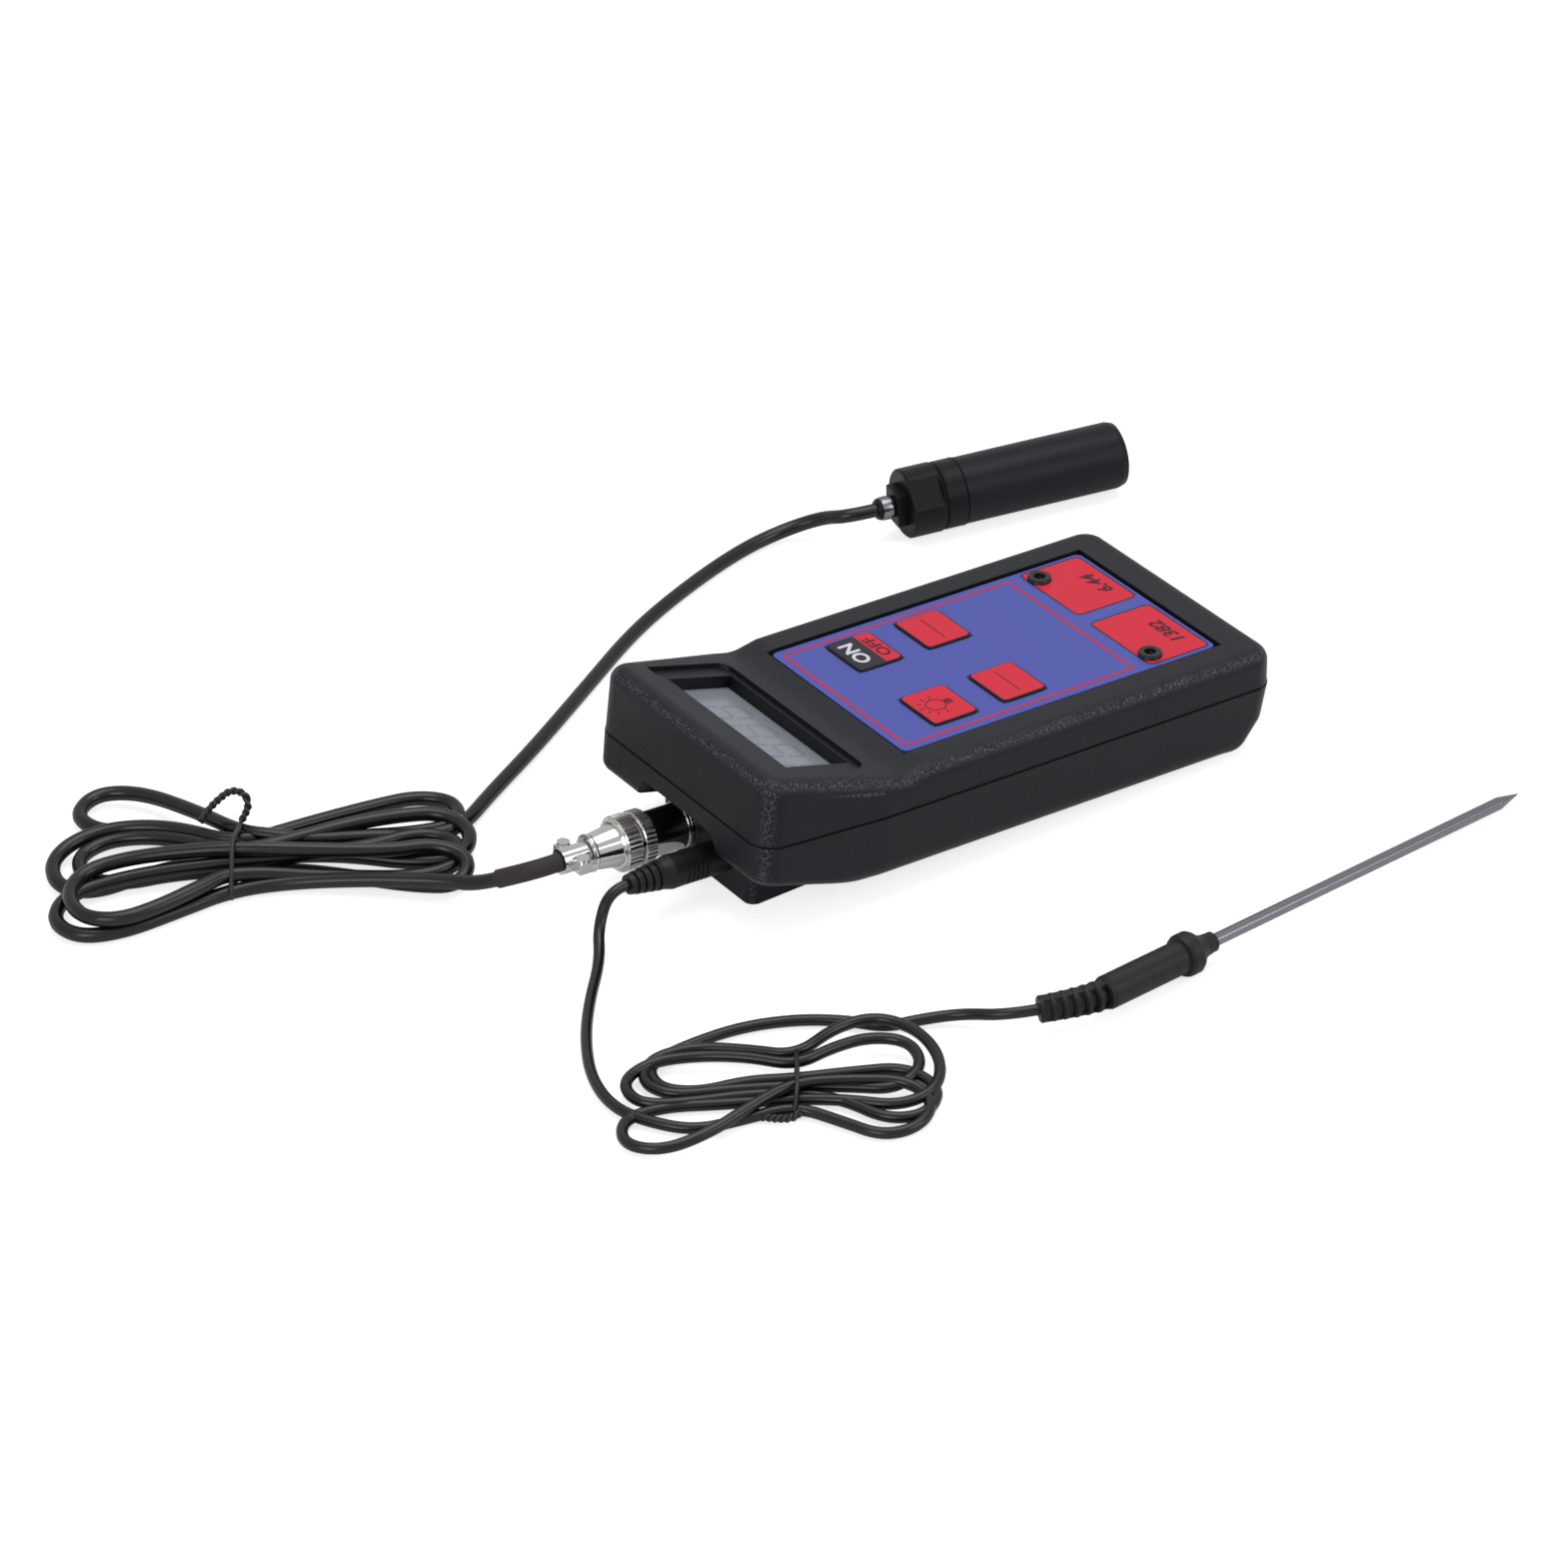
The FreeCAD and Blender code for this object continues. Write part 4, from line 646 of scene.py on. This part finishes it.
# %% The round connector
RING_TURN = Matrix.Rotation(math.radians(-90), 4, "X")
KNURL = {"Count": 36, "Radius": 6.98, "Width": 0.82, "Depth": 0.82, "Finish": knurl_chrome}
for name, body, y0, y1 in (("knurl_nut", "collar", 13.6, 16.5), ("knurl_plug", "meter", 18.1, 21.9)):
    middle = SOCKET @ Matrix.Translation((0, (y0 + y1) / 2, 0)) @ RING_TURN
    add_piece(name, grown_mesh(ridge_tree, {**KNURL, "Length": y1 - y0}, middle), knurl_chrome, body)
for name, body, profile in (
        ("cone_lip", "meter", [(4.3, 29.6), (4.95, 29.8), (5.15, 30.3), (4.95, 30.8), (4.3, 30.95)]),
        ("ring_lip", "meter", [(5.6, 22.2), (6.6, 22.2), (6.75, 22.6), (6.4, 23.0), (5.6, 23.05)]),
        ("nut_lip", "collar", [(5.9, 2.0), (6.5, 2.1), (6.6, 2.6), (6.45, 3.0), (6.1, 3.1)])):
    turned(name, SOCKET, profile, chrome, body)

# %% [markdown]
# ## The probe's boot
# The cable enters the probe through a soft boot with ribs, cut between them so that it bends. Its
# core follows a short curve from the handle to the cable, the ribs sit along it, and two webs hold
# them together, above and below.

# %% The probe's boot
boot_path = room([probe_start, boot_bend, cord_joint])
boot_line = spline_piece("boot_line", boot_path, 0.0, soft_pvc)
core = spline_piece("boot_core", boot_path, 0.0025, soft_pvc)
core_mesh = bpy.data.meshes.new_from_object(core)
bpy.data.objects.remove(core)
ribs = grown_mesh(rib_tree, {"Path": boot_line, "Count": 7, "Radius": 0.0041, "Thickness": 0.0016,
                             "End Scale": 0.84, "Finish": soft_pvc}, None)
bm = bmesh.new()
bm.from_mesh(ribs)
bmesh.ops.bevel(bm, geom=[e for e in bm.edges if len(e.link_faces) == 2 and e.calc_face_angle(0) > 1.2],
                offset=0.00035, segments=2, affect="EDGES")
bm.from_mesh(core_mesh)
boot_points = centre_line(boot_line)
WEB_HALF, WEB_LOW, WEB_HIGH, WEB_FALL = 0.0013, 0.001, 0.0039, 0.0006
for lift in (1, -1):
    rows = []
    for i, at in enumerate(boot_points):
        ahead = (boot_points[min(i + 1, len(boot_points) - 1)] - boot_points[max(i - 1, 0)]).normalized()
        side = ahead.cross(Vector((0, 0, 1))).normalized()
        rise = side.cross(ahead) * lift
        far = WEB_HIGH - WEB_FALL * i / len(boot_points)
        corners = ((-1, WEB_LOW), (1, WEB_LOW), (1, far), (-1, far))
        rows.append([bm.verts.new(at + side * s * WEB_HALF + rise * r) for s, r in corners])
    for a, b in zip(rows, rows[1:]):
        for k in range(4):
            bm.faces.new((a[k], a[(k + 1) % 4], b[(k + 1) % 4], b[k]))
    bm.faces.new(rows[0])
    bm.faces.new(rows[-1])
bpy.data.objects.remove(boot_line)
boot = add_piece("boot", baked("boot", Matrix(), bm), soft_pvc, "meter")
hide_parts("probe_boot")
print("boot", len(boot.data.vertices), "points")

# %% [markdown]
# ## The joint between the shells
# Where the two shells meet, a narrow step runs all round, with the shade in it painted as a black line. The upper
# shell's own section at that height gives the path, so the line follows every rounded corner.

# %% The joint between the shells
JOINT_Z, JOINT_HALF = 19.5, 0.3
JOINT_PROUD, JOINT_DEEP = 0.08, 0.15
# The section is taken a little above the joint, where the upper shell's wall is whole.
shell = bmesh.new()
shell.from_mesh(NODES["upper_case"].data)
bmesh.ops.transform(shell, matrix=HOUSING.inverted(), verts=shell.verts)
bmesh.ops.remove_doubles(shell, verts=shell.verts, dist=0.002)
section = bmesh.ops.bisect_plane(shell, geom=shell.verts[:] + shell.edges[:] + shell.faces[:], dist=0.0005,
                                 plane_co=(0, 0, JOINT_Z + 0.4), plane_no=(0, 0, 1))["geom_cut"]
links = {}
for edge in (g for g in section if isinstance(g, bmesh.types.BMEdge)):
    a, b = (tuple(round(c, 3) for c in v.co.xy) for v in edge.verts)
    links.setdefault(a, set()).add(b)
    links.setdefault(b, set()).add(a)
shell.free()
start = max(links, key=lambda p: p[0])
loop, before = [start], None
while True:
    ahead = [p for p in links[loop[-1]] if p != before]
    before = loop[-1]
    if not ahead or (ahead[0] == start and len(loop) > 2):
        break
    loop.append(ahead[0])
# Anticlockwise, so that growing the outline moves it outward.
area = sum(a[0] * b[1] - b[0] * a[1] for a, b in zip(loop, loop[1:] + loop[:1]))
if area < 0:
    loop.reverse()
outer_loop, inner_loop = grown(loop, JOINT_PROUD), grown(loop, -JOINT_DEEP)
low, high = JOINT_Z - JOINT_HALF, JOINT_Z + JOINT_HALF
rings = [(inner_loop, low), (outer_loop, low), (outer_loop, high), (inner_loop, high)]
add_piece("shell_joint", stacked("shell_joint", HOUSING, rings, True), joint_shadow, "meter")
print("joint points", len(loop), "reach", max(p[0] for p in loop), max(p[1] for p in loop))

# %% [markdown]
# ## Small turned rings
# The grommets over the calibration screws are soft rings with a rounded lip. The electrode's cap meets its tube in a
# thin step painted dark for its shade, and its cable gland is a bright ring.

# %% Small turned rings
SHEET_TOP = 29.45
CAL_Y = -51.5
for side, x in (("far", 24.3), ("near", -24.3)):
    upright = HOUSING @ Matrix.Translation((x, CAL_Y, SHEET_TOP)) @ Matrix.Rotation(math.radians(90), 4, "X")
    lip = [(1.55, -0.6), (3.05, -0.6), (3.3, 0.0), (3.25, 0.5), (2.9, 0.95), (2.4, 1.1), (1.9, 0.95), (1.6, 0.5)]
    turned("grommet_" + side, upright, lip, grommet_rubber, "meter", 40)
# The step between cap and tube takes the joint's painted shade.
turned("tube_step", ELECTRODE, [(9.4, 16.3), (9.85, 16.3), (9.85, 16.65), (9.4, 16.65)], joint_shadow, "meter")
turned("gland_ring", ELECTRODE, [(2.9, -6.9), (3.35, -6.7), (3.45, -5.2), (3.35, -3.9), (2.9, -3.7)], steel, "meter")
print("rings done")

# %% [markdown]
# ## Key caps
# Each key is a dark cap with soft corners whose stem reaches the switch below. A bevelled prism
# gives the corners and the pillowed rim, and rides on its own button. The red ink covers its top and
# leaves the dark rim standing as an outline.

# %% Key caps
KEY_TOP = 30.0
INK, UNDER = 0.04, 0.02  # how far an ink stands up, and how far its underside is sunk
SIGN = INK * 1.5         # ink printed over another ink
KEYS = {"power": (17.5, 11.05), "mode": (17.5, -11.1), "light": (-15.7, 11.05), "unit": (-15.7, -11.1)}
KEY_HALF = (8.15, 7.05)
KEY_CORNER = 1.7


def key_outline(key, grow=0.0):
    """Outline of a key, larger all round by grow."""
    (x, y), (hx, hy) = KEYS[key], KEY_HALF
    return rounded(x - hx - grow, x + hx + grow, y - hy - grow, y + hy + grow, KEY_CORNER + grow)


def round_outline(x, y, r, steps=24):
    """Points of a circle, anticlockwise."""
    return [(x + r * math.cos(a), y + r * math.sin(a)) for a in (2 * math.pi * k / steps for k in range(steps))]


CAP_LOW, STEM_SHOULDER, STEM_END = 29.1, 26.9, 25.2
STEM_R, TIP_R = 2.0, 1.75
for key in KEYS:
    x, y = KEYS[key]
    rings = [(key_outline(key, -0.02), CAP_LOW), (key_outline(key), KEY_TOP - 0.35),
             (key_outline(key, -0.08), KEY_TOP - 0.12), (key_outline(key, -0.3), KEY_TOP)]
    cap = stacked("cap_" + key, HOUSING, rings)
    stem, tip = round_outline(x, y, STEM_R), round_outline(x, y, TIP_R)
    whole = bmesh.new()
    whole.from_mesh(cap)
    whole.from_mesh(stacked("stem_" + key, HOUSING, [
        (tip, STEM_END), (tip, STEM_SHOULDER), (stem, STEM_SHOULDER), (stem, CAP_LOW)]))
    whole.to_mesh(cap)
    whole.free()
    piece = add_piece("cap_" + key, cap, ink_dark, "button_" + key)
    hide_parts("key_" + key)
print("keys", sorted(KEYS))

# %% [markdown]
# ## Label print
# Screen printing lays thin inks on the film: a frame line, two calibration fields, and a dark edge
# round each key. They could be painted in a texture, but flat pieces a few hundredths of a
# millimetre thick stay sharp at any size.

# %% Label print
line_box("frame_line", rounded(-26.95, 27.15, -43.05, 29.35, 0.6), 0.95, SHEET_TOP - UNDER, SHEET_TOP + INK, ink_frame)
CORNER_STEPS = 6
FIELD_TAIL, FIELD_HEAD, FIELD_LINE = -67.75, -48.45, 0.45
HOLE_R = 2.2
for name, x0, x1, cal_x in (("far", 2.6, 29.2, 24.3), ("near", -28.9, -2.1, -24.3)):
    field = rounded(x0 + FIELD_LINE, x1 - FIELD_LINE, FIELD_TAIL, FIELD_HEAD, 1.4, CORNER_STEPS)
    # The ink leaves the grommet's hole free: a fine slit leads from the field's edge round it and back.
    round_hole = [math.radians(90 - a) for a in range(1, 360, 13)]
    slit = [(cal_x + 0.01, FIELD_HEAD)]
    slit += [(cal_x + HOLE_R * math.cos(a), CAL_Y + HOLE_R * math.sin(a)) for a in round_hole]
    slit += [(cal_x - 0.01, CAL_Y + HOLE_R), (cal_x - 0.01, FIELD_HEAD)]
    inked = field[:CORNER_STEPS + 1] + slit + field[CORNER_STEPS + 1:]
    printed("field_" + name, inked, SHEET_TOP - UNDER, SHEET_TOP + INK * 0.6, ink_red)
    line_box("field_line_" + name, field, FIELD_LINE, SHEET_TOP - UNDER, SHEET_TOP + INK, ink_dark)
for key in KEYS:
    line_box("key_line_" + key, key_outline(key, 0.12), 0.4, SHEET_TOP - 0.1, SHEET_TOP + INK, ink_dark)
    printed("key_face_" + key, key_outline(key, -0.4), KEY_TOP - UNDER, KEY_TOP + INK / 2, ink_red,
            "button_" + key)


def words(name, text, size, x, y, high, mat, body, lean=0.0, thick=0.0, stretch=1.0):
    """Printed characters, read from the tail of the meter."""
    data = bpy.data.curves.new(name, "FONT")
    data.body = text
    data.size = size
    data.align_x = "CENTER"
    data.align_y = "CENTER"
    data.offset = thick
    data.shear = lean
    data.extrude = INK / 2
    data.resolution_u = 3
    holder = bpy.data.objects.new(name, data)
    mesh = bpy.data.meshes.new_from_object(holder)
    bpy.data.objects.remove(holder)
    mesh.transform(HOUSING @ Matrix.Translation((x, y, high + INK / 2)) @ Matrix.Diagonal((stretch, 1, 1, 1)))
    return add_piece(name, mesh, mat, body)


# Power key: dark half towards the display with ON, red half with OFF.
power_x, power_y = KEYS["power"]
power_split = power_y - 1.7
MARGIN = 0.3
dark_half = [p for p in key_outline("power", -MARGIN) if p[1] > power_split]
dark_half += [(power_x + hand * (KEY_HALF[0] - MARGIN), power_split) for hand in (-1, 1)]
printed("power_dark", dark_half, KEY_TOP - UNDER, KEY_TOP + INK, ink_dark, "button_power")
words("power_on", "ON", 6.0, power_x, power_y + 2.7, KEY_TOP + INK, ink_white, "button_power", thick=0.16,
      stretch=1.15)
words("power_off", "OFF", 4.8, power_x, power_y - 4.3, KEY_TOP, ink_legend, "button_power", thick=0.1,
      stretch=1.25)
LINE_HALF = (5.6, 0.16)
for key in ("mode", "unit"):
    x, y = KEYS[key]
    divider = [(x + a * LINE_HALF[0], y + b * LINE_HALF[1]) for a, b in ((-1, -1), (1, -1), (1, 1), (-1, 1))]
    printed("divider_" + key, divider, KEY_TOP - UNDER, KEY_TOP + SIGN, ink_legend, "button_" + key)

# Lamp sign: round bulb, screw base and rays.
lamp_x, lamp_y = KEYS["light"]
lamp_y += 0.9
BULB, BULB_LINE = (2.5, 2.6), 0.32
SCREW_HALF, SCREW_TOP, SCREW_STEP, SCREW_BAR = 1.15, 2.95, 0.72, 0.55
RAY_IN, RAY_OUT, RAY_HALF = 3.7, 4.9, 0.16
turns = [math.radians(a) for a in range(0, 360, 12)]
bulb = [(lamp_x + BULB[0] * math.cos(a), lamp_y + BULB[1] * math.sin(a)) for a in turns]
outer = grown(bulb, BULB_LINE)
rim = [(bulb, KEY_TOP), (outer, KEY_TOP), (outer, KEY_TOP + SIGN), (bulb, KEY_TOP + SIGN)]
add_piece("lamp_bulb", stacked("lamp_bulb", HOUSING, rim, True), ink_legend, "button_light")
for i in range(3):
    y = lamp_y - SCREW_TOP - SCREW_STEP * i
    left, right = lamp_x - SCREW_HALF, lamp_x + SCREW_HALF
    base = [(left, y - SCREW_BAR), (right, y - SCREW_BAR), (right, y), (left, y)]
    printed("lamp_base_%d" % i, base, KEY_TOP - UNDER, KEY_TOP + SIGN, ink_legend, "button_light")
for i, angle in enumerate((-10, 25, 57, 90, 123, 155, 190)):
    ux, uy = math.cos(math.radians(angle)), math.sin(math.radians(angle))
    bar = ((RAY_IN, -RAY_HALF), (RAY_OUT, -RAY_HALF), (RAY_OUT, RAY_HALF), (RAY_IN, RAY_HALF))
    ray = [(lamp_x + ux * r - uy * w, lamp_y + uy * r + ux * w) for r, w in bar]
    printed("lamp_ray_%d" % i, ray, KEY_TOP - UNDER, KEY_TOP + SIGN, ink_legend, "button_light")

# Calibration values beside the two grommets.
FIELD_TOP = SHEET_TOP + INK * 0.6
words("value_far", "6.44", 5.4, 14.0, -63.4, FIELD_TOP, ink_legend, "meter", 0.15, 0.15, 1.15)
words("value_near", "1382", 5.4, -17.0, -63.2, FIELD_TOP, ink_legend, "meter", 0.15, 0.15, 1.15)

# %% [markdown]
# ## Display
# The film behind the glass shows its unlit segments as a shade slightly darker. They are seven
# flat bars for each figure, laid just on the film. Two fillers round the corners of the sunk
# surround.

# %% Display
LCD_TOP = -4.6
FIGURE_HIGH, FIGURE_WIDE, FIGURE_STEP, FIGURE_LEAN, BAR_HALF = 12.5, 7.0, 11.5, 0.12, 0.55
SEGMENTS = {"a": (0, 1, 1, 1), "b": (1, 1, 1, 0.5), "c": (1, 0.5, 1, 0), "d": (0, 0, 1, 0), "e": (0, 0.5, 0, 0),
            "f": (0, 1, 0, 0.5), "g": (0, 0.5, 1, 0.5)}


def digit(name, x, width, height, segments):
    """Seven-segment figure at x; height runs across the window."""
    bm = bmesh.new()
    for s in segments:
        x0, y0, x1, y1 = SEGMENTS[s]
        a = Vector((x + x0 * width, (y0 - 0.5) * height, 0))
        b = Vector((x + x1 * width, (y1 - 0.5) * height, 0))
        along = (b - a).normalized()
        side = Vector((-along.y, along.x, 0)) * BAR_HALF
        a, b = a + along * 0.5, b - along * 0.5
        shape = [a, a + along * 0.5 + side, b - along * 0.5 + side, b, b - along * 0.5 - side, a + along * 0.5 - side]
        face = bm.faces.new([bm.verts.new((p.x + FIGURE_LEAN * p.y, p.y, LCD_TOP + 0.03)) for p in shape])
        solid = bmesh.ops.extrude_face_region(bm, geom=[face])
        for v in [g for g in solid["geom"] if isinstance(g, bmesh.types.BMVert)]:
            v.co.z -= 0.05
    return add_piece(name, baked(name, DISPLAY, bm), lcd_segment)


digit("digit_0", -19.5, 0.1, FIGURE_HIGH, "bc")
for i in range(3):
    digit("digit_%d" % (i + 1), -14.0 + FIGURE_STEP * i, FIGURE_WIDE, FIGURE_HIGH, "abcdefg")

# The sunk surround has rounded corners at its tail end.
BAY_X, BAY_TAIL, BAY_DEPTH, BAY_CORNER = 32.1, -12.1, 1.15, 4.0
for name, hand in (("far", 1), ("near", -1)):
    arc = [math.radians(270 + 90 * k / 8) for k in range(9)]
    corner = [(hand * (BAY_X - BAY_CORNER * (1 - math.cos(a))), BAY_TAIL + BAY_CORNER * (1 + math.sin(a))) for a in arc]
    corner.append((hand * (BAY_X + 0.1), BAY_TAIL - 0.1))
    printed("bay_corner_" + name, corner, -BAY_DEPTH - 0.05, -0.03, case_abs, place=DISPLAY)
print("figures 4")

# %% [markdown]
# ## Studio
# Product photographs of black plastic need wide soft lamps, because only reflections show its
# shape. The paper under the meter is white to the camera, dimmer where a surface mirrors it, and
# still takes the object's soft shadow. Three large lamps give a plain level.

# %% Studio
world = bpy.data.worlds.new("studio")
scene.world = world
world.use_nodes = True
tree = world.node_tree
tree.nodes.clear()


def background_rays(tree, mirrored):
    """One where the camera or glass looks, less where a surface mirrors, zero for the light on surfaces."""
    path = node(tree, "ShaderNodeLightPath")
    seen = node(tree, "ShaderNodeMath", {"operation": "MAXIMUM"}, path.outputs["Is Camera Ray"],
                path.outputs["Is Transmission Ray"])
    glossy = node(tree, "ShaderNodeMath", {"operation": "MULTIPLY"}, path.outputs["Is Glossy Ray"])
    glossy.inputs[1].default_value = mirrored
    either = node(tree, "ShaderNodeMath", {"operation": "MAXIMUM"}, seen.outputs[0], glossy.outputs[0])
    return either.outputs[0]


ROOM_MIRRORED, PAPER_MIRRORED = 0.5, 0.2  # share of the white that a surface mirrors
AMBIENT, GLOW = 0.32, 0.72
white = node(tree, "ShaderNodeBackground", {"Color": (1, 1, 1, 1), "Strength": 1.0})
ambient = node(tree, "ShaderNodeBackground", {"Color": (0.92, 0.94, 1.0, 1), "Strength": AMBIENT})
choose = node(tree, "ShaderNodeMixShader", {}, background_rays(tree, ROOM_MIRRORED), ambient.outputs[0],
              white.outputs[0])
node(tree, "ShaderNodeOutputWorld", {}, choose.outputs[0])

paper = bpy.data.materials.new("studio_paper")
paper.use_nodes = True
tree = paper.node_tree
tree.nodes.clear()
sheet = node(tree, "ShaderNodeBsdfDiffuse", {"Color": (0.8, 0.8, 0.8, 1)})
glow_level = node(tree, "ShaderNodeMath", {"operation": "MULTIPLY"}, background_rays(tree, PAPER_MIRRORED))
glow_level.inputs[1].default_value = GLOW
glow = node(tree, "ShaderNodeEmission", {"Color": (1, 1, 1, 1)}, Strength=glow_level.outputs[0])
total = node(tree, "ShaderNodeAddShader", {}, sheet.outputs[0], glow.outputs[0])
node(tree, "ShaderNodeOutputMaterial", {}, total.outputs[0])
FLOOR_HALF, FLOOR_Z = 4.0, -0.0004
floor_mesh = bpy.data.meshes.new("floor")
floor_mesh.from_pydata([(x * FLOOR_HALF, y * FLOOR_HALF, FLOOR_Z) for x, y in ((-1, -1), (1, -1), (1, 1), (-1, 1))],
                       [], [(0, 1, 2, 3)])
floor_mesh.materials.append(paper)
floor = bpy.data.objects.new("floor", floor_mesh)
scene.collection.objects.link(floor)


def soft_box(name, at, aim, wide, power):
    """Square lamp facing a point."""
    data = bpy.data.lights.new(name, "AREA")
    data.size = wide
    data.energy = power
    lamp = bpy.data.objects.new(name, data)
    lamp.location = at
    lamp.rotation_euler = (Vector(aim) - Vector(at)).to_track_quat("-Z", "Y").to_euler()
    scene.collection.objects.link(lamp)


soft_box("overhead", (0.1, -0.2, 1.1), (0, -0.05, 0), 0.9, 6.0)
soft_box("left_box", (-0.5, 0.9, 0.5), (0, 0, 0.02), 0.5, 2.4)
soft_box("right_box", (-0.9, -0.6, 0.6), (0, 0, 0.02), 0.6, 2.4)
print("lamps 3")
